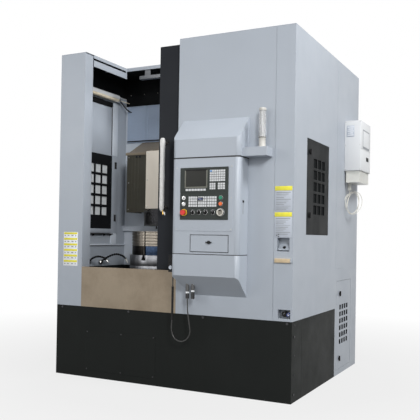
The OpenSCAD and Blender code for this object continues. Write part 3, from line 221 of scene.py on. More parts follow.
def machined(name, colour, centre, rough=0.3, below=None, split_z=None):
    """Turned steel: fine rings round an upright axis. Below split_z it takes another colour."""
    f = Finish(name, colour, rough, 1.0)
    away = f.add("ShaderNodeVectorMath", {0: f.place, 1: centre}, operation="SUBTRACT")
    flat = f.add("ShaderNodeVectorMath", {0: away.outputs[0], 1: (1, 1, 0)}, operation="MULTIPLY")
    size = f.add("ShaderNodeVectorMath", {0: flat.outputs[0]}, operation="LENGTH")
    pair = f.add("ShaderNodeCombineXYZ", {"X": size.outputs["Value"], "Y": f.axis("Z")})
    rings = f.add("ShaderNodeTexNoise", {"Vector": pair.outputs[0], "Scale": 420, "Detail": 3})
    ring = rings.outputs["Fac"]
    tint = f.blend(f.spread(ring, 0.3, 0.7), shade(colour, 0.8), shade(colour, 1.08))
    smear = f.spread(f.noise(11, 4), 0.5, 0.8, 0, 0.5)
    tint = f.blend(smear, tint, shade(colour, 0.68))
    if below:
        part = f.spread(f.axis("Z"), split_z - 0.0005, split_z + 0.0005)
        dark = f.blend(f.spread(f.noise(60, 4), 0.35, 0.7), shade(below, 0.8), shade(below, 1.25))
        tint = f.blend(part, dark, tint)
    f.put("Base Color", tint)
    f.put("Roughness", f.spread(ring, 0.25, 0.75, rough - 0.06, rough + 0.12))
    f.relief(ring, 0.12, 0.0008)
    return f.mat


def moulded(name, colour, rough=0.45, grain=0.15, scale=900, vary=0.08, **sockets):
    """Plastic or rubber with a fine moulded texture and slight handling marks."""
    f = Finish(name, colour, rough, 0.0, **sockets)
    marks = f.noise(35, 4)
    tint = f.blend(f.spread(marks, 0.35, 0.75), shade(colour, 1 - vary), shade(colour, 1 + vary))
    f.put("Base Color", tint)
    f.put("Roughness", f.spread(marks, 0.3, 0.7, rough - 0.08, rough + 0.1))
    f.relief(f.noise(scale, 2), grain, 0.0005)
    return f.mat


def cast(name, colour, rough=0.6):
    """Painted casting with a coarse skin."""
    f = Finish(name, colour, rough)
    skin = f.noise(55, 5, 0.65)
    f.put("Base Color", f.blend(f.spread(skin, 0.3, 0.7), shade(colour, 0.85), shade(colour, 1.12)))
    f.put("Roughness", f.spread(skin, 0.3, 0.7, rough - 0.1, rough + 0.1))
    f.relief(f.noise(140, 4), 0.35, 0.003)
    return f.mat


def bright(name, colour, rough=0.18):
    """Plated or polished metal with faint scuffs."""
    f = Finish(name, colour, rough, 1.0)
    scuff = f.noise(70, 5, 0.7)
    f.put("Base Color", f.blend(f.spread(scuff, 0.4, 0.75), colour, shade(colour, 0.75)))
    f.put("Roughness", f.spread(scuff, 0.35, 0.75, rough - 0.05, rough + 0.15))
    f.relief(f.noise(300, 3), 0.04, 0.0006)
    return f.mat


def clear(name, colour, rough=0.12, through=0.85, ior=1.45):
    """Clear or milky plastic and glass with slight haze."""
    f = Finish(name, colour, rough, 0.0, Transmission_Weight=through, IOR=ior)
    haze = f.noise(12, 3)
    f.put("Base Color", f.blend(f.spread(haze, 0.35, 0.75), colour, shade(colour, 0.93)))
    f.put("Roughness", f.spread(haze, 0.3, 0.7, rough, rough + 0.1))
    return f.mat


def lit_display(name):
    """Dark display glass with faint columns of characters as plain blocks."""
    f = Finish(name, rgb(24, 25, 21), 0.32, Specular_IOR_Level=0.25)
    turn = f.add("ShaderNodeMapping", {"Vector": f.place, "Rotation": (math.radians(90), 0, 0)})
    bars = f.add("ShaderNodeTexBrick", {
        "Vector": turn.outputs["Vector"], "Color1": rgb(58, 58, 44), "Color2": rgb(30, 31, 25),
        "Mortar": rgb(22, 23, 20), "Scale": 62, "Mortar Size": 0.12,
    }, offset=0.4)
    veil = f.spread(f.noise(26, 3, stretch=(1, 1, 0.4)), 0.4, 0.65)
    f.put("Base Color", f.blend(veil, rgb(26, 27, 22), bars.outputs["Color"]))
    f.put("Roughness", f.spread(f.noise(8, 2), 0.3, 0.7, 0.28, 0.40))
    return f.mat


def placed(name, data):
    """A new object in the scene."""
    obj = bpy.data.objects.new(name, data)
    bpy.context.scene.collection.objects.link(obj)
    return obj


class Piece:
    """A mesh built from bevelled slabs, turned forms, plates and tubes in the row frame."""

    def __init__(self, name, *finishes):
        self.name = name
        self.finishes = finishes
        self.bm = bmesh.new()
        self.taken = self.bm.faces.layers.int.new("taken")

    def claim(self, slot):
        """Gives the faces made since the last claim to one finish."""
        for face in self.bm.faces:
            if not face[self.taken]:
                face.material_index = slot
                face.smooth = True
                face[self.taken] = 1

    def slab(self, low, high, edge=0.001, slot=0, steps=2):
        """Box between two corners, with rounded edges."""
        low, high = Vector(low), Vector(high)
        verts = bmesh.ops.create_cube(self.bm, size=1.0)["verts"]
        size = high - low
        place = Matrix.Translation((low + high) / 2) @ Matrix.Diagonal((*size, 1))
        bmesh.ops.transform(self.bm, matrix=place, verts=verts)
        if edge:
            edges = list(dict.fromkeys(e for v in verts for e in v.link_edges))
            bmesh.ops.bevel(self.bm, geom=edges, offset=min(edge, min(size) * 0.45), segments=steps,
                            profile=0.5, affect="EDGES")
        self.claim(slot)

    def skin(self, rows, caps=False):
        """Faces between rows of points, where a row of one point is a tip, and over both ends."""
        sides = max(len(row) for row in rows)
        for a, b in zip(rows, rows[1:]):
            for k in range(sides):
                ring = (a[k % len(a)], a[(k + 1) % len(a)], b[(k + 1) % len(b)], b[k % len(b)])
                corners = list(dict.fromkeys(ring))
                if len(corners) > 2:
                    self.bm.faces.new(corners)
        if caps:
            self.bm.faces.new(rows[0][::-1])
            self.bm.faces.new(rows[-1])

    def turned(self, profile, at, axis=UPRIGHT, slot=0, sides=32):
        """Profile of (radius, height) turned about an axis through a point."""
        turn = Vector(UPRIGHT).rotation_difference(Vector(axis)).to_matrix()
        rows = []
        for radius, height in profile:
            count = sides if radius > 1e-6 else 1
            rows.append([self.bm.verts.new(Vector(at) + turn @ Vector((
                radius * math.cos(math.tau * k / sides), radius * math.sin(math.tau * k / sides), height)))
                for k in range(count)])
        self.skin(rows)
        self.claim(slot)

    def plate(self, at, side, w, h, thick, corner=0.003, slot=0, steps=4, edge=0.0004):
        """Rounded plate whose back is centred on a point of a side face."""
        across, up = side
        out = across.cross(up)
        outline = []
        for sx, sy, start in ((1, 1, 0), (-1, 1, 90), (-1, -1, 180), (1, -1, 270)):
            for s in range(steps + 1):
                a = math.radians(start + 90 * s / steps)
                outline.append((sx * (w / 2 - corner) + corner * math.cos(a),
                                sy * (h / 2 - corner) + corner * math.sin(a)))
        rows = []
        for inset, lift in ((0, 0), (0, thick - edge), (edge, thick)):
            kx, ky = 1 - 2 * inset / w, 1 - 2 * inset / h
            rows.append([self.bm.verts.new(Vector(at) + across * x * kx + up * y * ky + out * lift)
                         for x, y in outline])
        self.skin(rows, caps=True)
        self.claim(slot)

    def printed(self, at, w, h, slot=0, corner=0.001, side=FRONT, steps=4):
        """Thin printed field."""
        self.plate(at, side, w, h, 0.0003, corner, slot, steps, 0.0001)

    def screw(self, at, out, r=0.006, h=0.003, slot=0):
        """Low button head with a socket."""
        socket = [(0, h * 0.35), (r * 0.42, h * 0.35), (r * 0.48, h)]
        self.turned(socket + [(r * 0.8, h * 0.95), (r, h * 0.5), (r, 0)], at, out, slot, 16)

    def screws(self, columns, y, rows, r, h, slot=0):
        """Screws in columns and rows on a front face."""
        for x in columns:
            for z in rows:
                self.screw((x, y, z), AHEAD, r, h, slot)

    def tube(self, path, radius, slot=0, sides=12):
        """Round bar along points; radius may be a list."""
        points = [Vector(p) for p in path]
        rows = []
        normal = None
        for i, p in enumerate(points):
            ahead = (points[min(i + 1, len(points) - 1)] - points[max(i - 1, 0)]).normalized()
            if normal is None:
                normal = ahead.orthogonal().normalized()
            normal = (normal - ahead * normal.dot(ahead)).normalized()
            side = ahead.cross(normal)
            r = radius[i] if isinstance(radius, (list, tuple)) else radius
            rows.append([self.bm.verts.new(p + normal * r * math.cos(math.tau * k / sides)
                                           + side * r * math.sin(math.tau * k / sides))
                         for k in range(sides)])
        self.skin(rows, caps=True)
        self.claim(slot)

    def fold(self, outline, along, slot=0):
        """Closed outline of points moved along a vector."""
        ends = (Vector(), Vector(along))
        self.skin([[self.bm.verts.new(Vector(p) + end) for p in outline] for end in ends], caps=True)
        self.claim(slot)

    def done(self, body="machine", sharp=38):
        """Makes the object, which rides on a body."""
        bmesh.ops.recalc_face_normals(self.bm, faces=self.bm.faces)
        self.bm.faces.layers.int.remove(self.taken)
        mesh = bpy.data.meshes.new(self.name)
        self.bm.to_mesh(mesh)
        self.bm.free()
        mesh.set_sharp_from_angle(angle=math.radians(sharp))
        for finish in self.finishes:
            mesh.materials.append(FINISH[finish])
        obj = placed(self.name, mesh)
        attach(obj, body)
        return obj


def pleated_mat(name, body, finishes, face, depth, back, y0, y1, z0, z1, count):
    """Mat of upright pleats in a side wall."""
    mat = Piece(name, *finishes)
    pleats = [(face - (depth if k % 2 else 0), y0 + (y1 - y0) * k / count, z0) for k in range(count + 1)]
    mat.fold(pleats + [(back, y1, z0), (back, y0, z0)], (0, 0, z1 - z0))
    mat.done(body, 20)


def smooth_path(points, steps=6):
    """Points on a smooth curve through the given ones."""
    p = [Vector(q) for q in points]
    out = []
    for i in range(len(p) - 1):
        a, b, c, d = p[max(i - 1, 0)], p[i], p[i + 1], p[min(i + 2, len(p) - 1)]
        for s in range(steps):
            t = s / steps
            out.append(0.5 * (2 * b + (c - a) * t + (2 * a - 5 * b + 4 * c - d) * t * t
                              + (3 * b - a - 3 * c + d) * t ** 3))
    out.append(p[-1])
    return out


def cord_curve(name, points, diameter, finish):
    """Open curve of one spline with a round section."""
    curve = bpy.data.curves.new(name, "CURVE")
    curve.dimensions = "3D"
    curve.bevel_depth = diameter / 2
    curve.bevel_resolution = 4
    curve.use_fill_caps = True
    spline = curve.splines.new("POLY")
    spline.points.add(len(points) - 1)
    for target, p in zip(spline.points, points):
        target.co = (*p, 1.0)
    spline.use_smooth = True
    curve.materials.append(finish)
    return placed(name, curve)


FINISH = {}


class LatheColours(bpy.types.PropertyGroup):
    """Main colours of the machine."""
    panel_paint: FloatVectorProperty(
        name="Panel paint", description="Colour of the outer sheets", subtype="COLOR", size=4, min=0, max=1,
        default=rgb(162, 169, 178))
    liner_paint: FloatVectorProperty(
        name="Liner paint", description="Colour of the inner walls", subtype="COLOR", size=4, min=0, max=1,
        default=rgb(206, 213, 222))
    skirt_paint: FloatVectorProperty(
        name="Skirt paint", description="Colour of the base skirts", subtype="COLOR", size=4, min=0, max=1,
        default=rgb(31, 33, 32))
    door_paint: FloatVectorProperty(
        name="Door paint", description="Colour of the sliding door", subtype="COLOR", size=4, min=0, max=1,
        default=rgb(39, 41, 45))
    ram_paint: FloatVectorProperty(
        name="Ram paint", description="Colour of the ram cover", subtype="COLOR", size=4, min=0, max=1,
        default=rgb(228, 219, 204))
    vent_paint: FloatVectorProperty(
        name="Vent door paint", description="Colour of the vented side door", subtype="COLOR", size=4, min=0,
        max=1, default=rgb(21, 23, 24))
    marker: FloatVectorProperty(
        name="Marker yellow", description="Colour of the bands on the plates", subtype="COLOR", size=4, min=0,
        max=1, default=rgb(222, 214, 62))


class LatheSizes(bpy.types.PropertyGroup):
    """Sizes of fittings that may be changed."""
    edge: FloatProperty(
        name="Sheet edge", description="Rounding on the edges of folded sheets", unit="LENGTH", min=0.0002,
        max=0.004, default=0.0016)
    cord: FloatProperty(
        name="Pendant cord", description="Diameter of the pendant cord", unit="LENGTH", min=0.006, max=0.014,
        default=0.010)
    hose: FloatProperty(
        name="Clear hose", description="Diameter of the clear hose", unit="LENGTH", min=0.004, max=0.006,
        default=0.005)
    hose_turns: FloatProperty(
        name="Hose turns", description="Turns in the hank of clear hose", min=2, max=3.5, default=3.0)


def mix_finishes(colours):
    """All finishes of the machine, by name."""
    paint = colours.panel_paint
    dull = {"Specular_IOR_Level": 0.06}
    FINISH.update(
        panel=coated("panel_paint", paint, 0.42, 0.09, 0.05, 0.12),
        # leaf and vent: the walls of their vent slots are painted near black as shade.
        leaf=coated("leaf_paint", paint, 0.42, 0.09, 0.05, 0.12, SIDE_X - SKIN_X),
        vent=coated("vent_paint", colours.vent_paint, 0.45, 0.12, 0.08, 0.0, SIDE_X - SKIN_X, **dull),
        console=coated("console_paint", shade(paint, 1.03), 0.4, 0.08, 0.04),
        liner=coated("liner_paint", colours.liner_paint, 0.38, 0.08, 0.12, 0.2),
        skirt=coated("skirt_paint", colours.skirt_paint, 0.5, 0.3, 0.16, **dull),
        door=coated("door_paint", colours.door_paint, 0.42, 0.12, 0.1, **dull),
        ram=coated("ram_paint", colours.ram_paint, 0.45, 0.1, 0.06),
        apron=brushed("apron_steel", rgb(139, 127, 110), 0.46, (60, 60, 1), 0.55, rgb(110, 97, 81), 0.6),
        cover=brushed("cover_steel", rgb(106, 103, 92), 0.36, (60, 60, 1), 0.3, rgb(84, 80, 71), 0.85,
                      rgb(132, 121, 104), 1.945),
        way=brushed("way_steel", rgb(166, 181, 202), 0.34, (1, 60, 60), 0.2, rgb(146, 160, 182), 0.2),
        chuck=machined("chuck_steel", rgb(132, 133, 136), SPINDLE, 0.36),
        # Lit and shaded copies of the jaw steel: the dark foot below split_z on jaw_a and jaw_c is painted
        # shade, and the blue foot on jaw_b is a painted reflection of the sky on its lit face.
        jaw_dark=machined("jaw_steel", rgb(138, 131, 121), SPINDLE, 0.3, rgb(52, 50, 48), 1.106),
        jaw_blue=machined("jaw_steel_painted_reflection", rgb(138, 131, 121), SPINDLE, 0.3, rgb(70, 88, 116), 1.106),
        turret=machined("turret_steel", rgb(48, 48, 50), SPINDLE, 0.42),
        casting=cast("casting_paint", rgb(112, 120, 130)),
        black_iron=cast("black_iron", rgb(32, 33, 35), 0.5),
        grille=coated("grille_black", rgb(24, 25, 27), 0.45, 0.15, 0.1, **dull),
        pan=coated("pan_black", rgb(34, 36, 38), 0.35, 0.1, 0.2, **dull),
        bolt=bright("black_bolt", rgb(70, 70, 72), 0.4),
        rail=brushed("rail_aluminium", rgb(112, 114, 117), 0.45, (1, 60, 60)),
        zinc=bright("zinc_screw", rgb(190, 190, 186), 0.3),
        chrome=bright("chrome", rgb(214, 214, 214), 0.16),
        brass=bright("brass", rgb(196, 158, 86), 0.26),
        handle=bright("handle_satin", rgb(206, 202, 192), 0.34),
        charcoal=moulded("panel_charcoal", rgb(62, 66, 64), 0.5, vary=0.04, **dull),
        black=moulded("black_plastic", rgb(17, 17, 18), 0.5, Specular_IOR_Level=0.2),
        cord=moulded("cord_jacket", rgb(44, 44, 43), 0.3, 0.1),
        rubber=moulded("black_rubber", rgb(24, 24, 25), 0.6, 0.25, 500),
        white=coated("white_box", rgb(204, 206, 208), 0.4, 0.06, 0.02),
        gland=moulded("gland_grey", rgb(82, 82, 82), 0.5),
        key=moulded("key_white", rgb(206, 208, 210), 0.45, 0.1, vary=0.04),
        key_blue=moulded("key_blue", rgb(72, 140, 206), 0.45, 0.1),
        red=moulded("stop_red", rgb(206, 44, 40), 0.35, 0.05),
        yellow=moulded("ring_yellow", rgb(226, 178, 40), 0.4, 0.05),
        green=moulded("start_green", rgb(28, 128, 98), 0.35, 0.05),
        orange=moulded("halt_orange", rgb(236, 112, 58), 0.35, 0.05),
        marker=moulded("marker_yellow", colours.marker, 0.5, 0.04),
        sheet=moulded("plate_white", rgb(226, 229, 232), 0.5, 0.04, vary=0.02),
        mark=moulded("mark_grey", rgb(138, 142, 146), 0.5, 0.04),
        label=moulded("label_pale", rgb(172, 178, 188), 0.5, 0.04, vary=0.02),
        bezel=moulded("bezel_olive", rgb(100, 101, 92), 0.45, 0.1),
        dial=bright("dial_metal", rgb(172, 169, 162), 0.36),
        dial_face=bright("dial_face", rgb(120, 117, 110), 0.42),
        fitting_blue=moulded("fitting_blue", rgb(40, 66, 156), 0.4, 0.05),
        tan=moulded("ledge_tan", rgb(196, 176, 144), 0.7, 0.4, 260),
        milky=clear("milky_tank", rgb(238, 238, 232), 0.3, 0.45),
        hose=clear("clear_hose", rgb(228, 226, 216), 0.1, 0.15),
        lens=clear("lens_clear", rgb(240, 240, 240), 0.14, 0.8),
        glass=clear("window_glass", rgb(214, 224, 224), 0.03, 0.92),
        sleeve=moulded("sleeve_film", rgb(206, 206, 204), 0.32, 0.5, 90),
        # Black of the lamp guard and the rear vent mat, and painted shade on the upper sheets above the lamp.
        liner_black=coated("liner_black", rgb(22, 23, 24), 0.6, 0.2, 0.2, **dull),
        lamp=moulded("lamp_tube", rgb(226, 214, 188), 0.3, 0.03),
        vent_mat=moulded("vent_mat", rgb(20, 22, 23), 0.8, 0.6, 420, **dull),
        filter=moulded("filter_mat", rgb(208, 212, 214), 0.85, 0.6, 420),
        display=lit_display("display_glass"),
        led=moulded("led_window", rgb(34, 46, 84), 0.2, 0.02),
        core=moulded("lamp_core", rgb(184, 186, 188), 0.35, 0.1),
        tower=moulded("tower_grey", rgb(186, 184, 178), 0.4, 0.06, vary=0.03),
    )


NODE_FINISH = {
    "panel": ("left_wall", "right_wall", "back_panel", "roof", "front_panel", "tower_bracket"),
    "leaf": ("rear_door",),
    "rail": ("door_rails",),
    "console": ("console_box", "console_hood", "operator_plate", "console_flap"),
    "gland": ("cord_plugs",),
    "liner": ("inner_liner",),
    "skirt": ("base_skirts",),
    "bolt": ("skirt_bolts",),
    "door": ("door_panel",),
    "vent": ("vent_door",),
    "ram": ("ram_cover",),
    "apron": ("apron",),
    "cover": ("saddle_cover",),
    "way": ("way_cover",),
    "chuck": ("chuck",),
    # Jaw feet: painted shade on jaw_a and jaw_c, painted reflection on jaw_b.
    "jaw_dark": ("jaw_a", "jaw_c"),
    "jaw_blue": ("jaw_b",),
    "turret": ("turret_disc",),
    "casting": ("frame_casting", "saddle", "spindle_housing"),
    "black_iron": ("turret_housing",),
    "grille": ("left_grille",),
    "pan": ("chip_pan",),
    "handle": ("door_handle",),
    "charcoal": ("cnc_unit", "control_panel"),
    "black": ("pendant", "vent_latch_upper", "vent_latch_lower", "rear_latch_upper", "rear_latch_lower",
              "flap_latch", "selector_1", "selector_2", "selector_3", "selector_4", "air_fittings"),
    "white": ("lube_pump",),
    "milky": ("lube_tank",),
    "key": ("film_keys",),
    "red": ("estop_button",),
    "green": ("start_button",),
    "orange": ("stop_button",),
    "glass": ("door_glass",),
    "lamp": ("work_lamp",),
    "display": ("cnc_screen",),
}

# Rounded edges of the larger sheets and blocks, in shares of the sheet edge
SOFT_EDGES = {
    "left_wall": 1, "right_wall": 1, "back_panel": 1, "roof": 1, "front_panel": 1, "base_skirts": 1,
    "apron": 0.6, "console_flap": 0.5, "operator_plate": 0.5, "cnc_unit": 1, "control_panel": 0.6,
    "tower_bracket": 1.4, "lube_pump": 2, "lube_tank": 3, "door_panel": 1, "saddle_cover": 0.8,
    "ram_cover": 1.2, "vent_door": 0.6, "rear_door": 0.6, "chip_pan": 0.8, "inner_liner": 0.8,
    "way_cover": 0.8, "chuck": 0.9, "jaw_a": 0.7, "jaw_b": 0.7, "jaw_c": 0.7, "turret_disc": 1,
    "turret_housing": 1.2, "estop_button": 1.6, "start_button": 0.8, "stop_button": 0.8, "pendant": 1.6,
    "film_keys": 0.25, "left_grille": 0.6, "selector_1": 0.7, "selector_2": 0.7, "selector_3": 0.7,
    "selector_4": 0.7, "door_rails": 0.7, "console_hood": 1, "console_box": 1, "saddle": 1,
    "frame_casting": 1.2,
}


class LATHE_OT_finishes(bpy.types.Operator):
    """Mixes the finishes, gives them to the solids and softens the edges of the sheets."""
    bl_idname = "lathe.finishes"
    bl_label = "Finishes"

    def execute(self, context):
        mix_finishes(context.scene.lathe_colours)
        edge = context.scene.lathe_sizes.edge
        for finish, nodes in NODE_FINISH.items():
            for node in nodes:
                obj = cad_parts[node]
                obj.data.materials.clear()
                obj.data.materials.append(FINISH[finish])
        for node, share in SOFT_EDGES.items():
            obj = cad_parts[node]
            weld = obj.modifiers.new("weld", "WELD")
            weld.merge_threshold = 0.00002
            soft = obj.modifiers.new("soft_edge", "BEVEL")
            soft.width = edge * share
            soft.segments = 2
            soft.limit_method = "ANGLE"
            soft.angle_limit = math.radians(50)
            soft.harden_normals = True
        return {"FINISHED"}


# Camera of the photograph: place, turns in degrees (yaw, pitch, roll), focal length and shift of the lens
VIEW_FROM = (2.679, -5.422, 1.193)
VIEW_TURNS = (26.79, 0.61, 0.95)
VIEW_LENS = 56.657
VIEW_SHIFT = 0.0476

# Lamps, all turned to one point: name, place, diameter, power
LAMP_AIM = Vector((0.1, -0.6, 1.3))
LAMPS = (
    ("key", (5.5, -7.0, 5.0), 2.0, 440),
    ("fill", (0.7, -6.6, 2.6), 3.0, 66),
    ("side", (-2.6, -4.2, 2.6), 2.0, 40),
    ("top", (4.6, -1.3, 5.8), 1.6, 270),
    ("rear", (-2.5, 5.5, 4.5), 4.0, 160),
    ("inner", (-0.12, -0.55, 2.60), 0.4, 6),
)


class LATHE_OT_stage(bpy.types.Operator):
    """Camera at the photograph's view, soft lights and a pale floor."""
    bl_idname = "lathe.stage"
    bl_label = "Stage"

    def execute(self, context):
        scene = context.scene
        scene.view_settings.view_transform = "Standard"
        self.camera(scene)
        self.lights(scene)
        self.floor()
        return {"FINISHED"}

    def camera(self, scene):
        """Camera set by its place, its turns and its lens."""
        yaw, pitch, roll = (math.radians(a) for a in VIEW_TURNS)
        ahead = Vector((-math.sin(yaw) * math.cos(pitch), math.cos(yaw) * math.cos(pitch), math.sin(pitch)))
        right = Vector((math.cos(yaw), math.sin(yaw), 0))
        up = right.cross(ahead)
        tilted = right * math.cos(roll) + up * math.sin(roll)
        lifted = up * math.cos(roll) - right * math.sin(roll)
        data = bpy.data.cameras.new("view")
        data.sensor_width = 36
        data.lens = VIEW_LENS
        data.shift_y = VIEW_SHIFT
        data.clip_end = 100
        matrix = Matrix((tilted, lifted, -ahead)).transposed().to_4x4()
        matrix.translation = VIEW_FROM
        scene.camera = placed("view", data)
        scene.camera.matrix_world = matrix

    def lights(self, scene):
        """Round lamps, and a white world that is weaker where it only lights."""
        for name, at, size, power in LAMPS:
            lamp = bpy.data.lights.new(name, "AREA")
            lamp.shape = "DISK"
            lamp.size = size
            lamp.energy = power
            obj = placed(name, lamp)
            obj.location = at
            obj.visible_camera = False
            obj.rotation_euler = (LAMP_AIM - Vector(at)).to_track_quat("-Z", "Y").to_euler()
        world = bpy.data.worlds.new("studio")
        scene.world = world
        graph = Graph(world)
        sky = graph.tree.nodes["Background"]
        graph.feed(sky, "Color", (1, 1, 1, 1))
        graph.feed(sky, "Strength", graph.spread(self.seen(graph), 0, 1, 0.18, 1.0))

    def seen(self, graph):
        """1 on rays that show the background: camera, glossy and transmission."""
        rays = graph.add("ShaderNodeLightPath")
        total = rays.outputs["Is Camera Ray"]
        for name in ("Is Glossy Ray", "Is Transmission Ray"):
            total = graph.combine("MAXIMUM", total, rays.outputs[name])
        return total

    def floor(self):
        """Pale floor that fades into the background away from the machine."""
        mesh = bpy.data.meshes.new("floor")
        bm = bmesh.new()
        bmesh.ops.create_grid(bm, x_segments=2, y_segments=2, size=40)
        bm.to_mesh(mesh)
        bm.free()
        floor = placed("floor", mesh)
        floor.location.z = -0.0005
        f = Finish("pale_floor", (0.2, 0.2, 0.2, 1), 0.9)
        glow = f.add("ShaderNodeEmission", {"Strength": 1.0})
        away = f.add("ShaderNodeVectorMath", {0: f.place}, operation="LENGTH")
        fade = f.spread(away.outputs["Value"], 1.6, 5.0, 0.80, 1.0)
        share = f.combine("MULTIPLY", self.seen(f), fade)
        mix = f.add("ShaderNodeMixShader", {0: share, 1: f.shader.outputs[0], 2: glow.outputs[0]})
        f.feed(f.tree.nodes["Material Output"], "Surface", mix.outputs[0])
        mesh.materials.append(f.mat)


HOSE_START = Vector((1.0915, 0.535, 1.640))
HANK_TURN = math.radians(23)
HANK_SPREAD = math.radians(9)
HANK_LEAN = 0.18
CORD_ROUTE = [(0.133, -1.000, 0.905), (0.133, -1.000, 0.850), (0.132, -0.999, 0.760), (0.131, -0.998, 0.660),
              (0.130, -0.997, 0.560), (0.126, -0.996, 0.480), (0.150, -0.995, 0.415), (0.205, -0.993, 0.390),
              (0.255, -0.991, 0.410), (0.284, -0.989, 0.460), (0.276, -0.988, 0.530), (0.260, -0.987, 0.620),
              (0.255, -0.987, 0.720)]


class LATHE_OT_cords(bpy.types.Operator):
    """Pendant cord with its sleeve, and the hank of clear hose under the lubricator."""
    bl_idname = "lathe.cords"
    bl_label = "Cords"

    def execute(self, context):
        sizes = context.scene.lathe_sizes
        self.pendant_cord(sizes.cord)
        self.clear_hose(sizes.hose, sizes.hose_turns)
        return {"FINISHED"}

    def pendant_cord(self, diameter):
        """Cord from the pendant down to the skirt and up to its plug."""
        path = smooth_path(CORD_ROUTE, 4)
        cord = cord_curve("pendant_lead", path, diameter, FINISH["cord"])
        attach(cord, "machine")
        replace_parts(cord, "pendant_cord")
        sleeve = Piece("cord_sleeve", "black")
        run = [p for p in smooth_path(CORD_ROUTE[1:6], 24) if 0.55 < p.z < 0.81]
        radii = [0.0088 + 0.0009 * math.cos(math.tau * k / 2.0) for k in range(len(run))]
        sleeve.tube(run, radii, sides=16)
        holder = sleeve.done()

    def clear_hose(self, diameter, turns):
        """Hose from the drain neck, wound to a leaning hank."""
        centre = Vector((1.1260, 0.535, 1.528))
        along = Vector((math.sin(HANK_TURN), math.cos(HANK_TURN), 0))
        out = Vector((math.cos(HANK_TURN), -math.sin(HANK_TURN), 0))
        lead = [HOSE_START, HOSE_START + Vector((0, 0, -0.022)),
                HOSE_START + Vector((0.0030, -0.022, -0.055)),
                centre - along * 0.075 + Vector((0, 0, 0.032))]
        loop = []
        steps = int(turns * 18)
        for k in range(steps + 1):
            t = k / 18
            angle = math.radians(180) + math.tau * t
            r = 0.0985 + 0.0065 * math.sin(2.3 * t + 0.6) - 0.0035 * math.sin(angle)
            swing = HANK_TURN + HANK_SPREAD * math.sin(2.4 * t)
            side = Vector((math.sin(swing), math.cos(swing), 0))
            loop.append(centre + side * r * (math.cos(angle) + HANK_LEAN * math.sin(angle))
                        + Vector((0, 0, r * math.sin(angle))) + out * (0.009 - 0.018 * k / steps))
        path = smooth_path(lead + loop[1:], 3)
        hose = cord_curve("clear_hose", path, diameter, FINISH["hose"])
        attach(hose, "machine")
        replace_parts(hose, "lube_coil")
        self.hose_ties(centre, along, out)

    def hose_ties(self, centre, along, out):
        """Ties that hold the turns of the hank together."""
        tie = Piece("hose_ties", "white")
        for angle in (-35, 205):
            a = math.radians(angle)
            away = along * math.cos(a) + Vector((0, 0, math.sin(a)))
            ring = [centre + away * (0.099 + 0.0135 * math.cos(b)) + out * 0.0150 * math.sin(b)
                    for b in (math.tau * k / 24 for k in range(25))]
            tie.tube(ring, 0.0012, 0, 6)
        return tie.done()


class LATHE_OT_plates(bpy.types.Operator):
    """Plain marked plates on the pillar and the corner strip."""
    bl_idname = "lathe.plates"
    bl_label = "Plates"

    def execute(self, context):
        board = Piece("pillar_plate", "sheet", "marker", "mark")
        board.plate((PILLAR_X, FRONT_Y, 1.072), FRONT, 0.152, 0.288, 0.0012, 0.004)
        face = FRONT_Y - 0.0012
        for k in range(6):
            z = 1.205 - 0.0474 * k
            board.plate((PILLAR_X, face, z), FRONT, 0.142, 0.017, 0.0004, 0.002, 1, edge=0.0002)
            for x, w in ((-0.994, 0.014), (-0.960, 0.018), (-0.916, 0.022), (-0.882, 0.012)):
                board.printed((x, face, z - 0.019 - 0.003 * (k % 2)), w, 0.008, 2)
        board.done()
        strip = Piece("corner_plates", "label", "marker", "mark", "black")
        face = FRONT_Y - 0.0010
        for top, rows, gap in ((1.572, 11, (2, 5, 8)), (1.382, 10, (1, 4, 7))):
            strip.plate((STRIP_X, FRONT_Y, top - 0.0165), FRONT, 0.133, 0.032, 0.0014, 0.003, 1)
            strip.plate((STRIP_X, FRONT_Y, top - 0.1085), FRONT, 0.133, 0.150, 0.0010, 0.003, 0)
            for k in range(rows):
                w = 0.112 - 0.017 * ((k * 5) % 4)
                h = 0.0026 if k in gap else 0.0052
                strip.printed((STRIP_X - (0.112 - w) / 2, face, top - 0.046 - 0.0126 * k), w, h, 2)
        for x, z in ((0.944, 1.213), (0.957, 1.220), (0.957, 1.206)):
            strip.printed((x, face, z), 0.008, 0.007, 3, 0.002)
        strip.done()
        return {"FINISHED"}


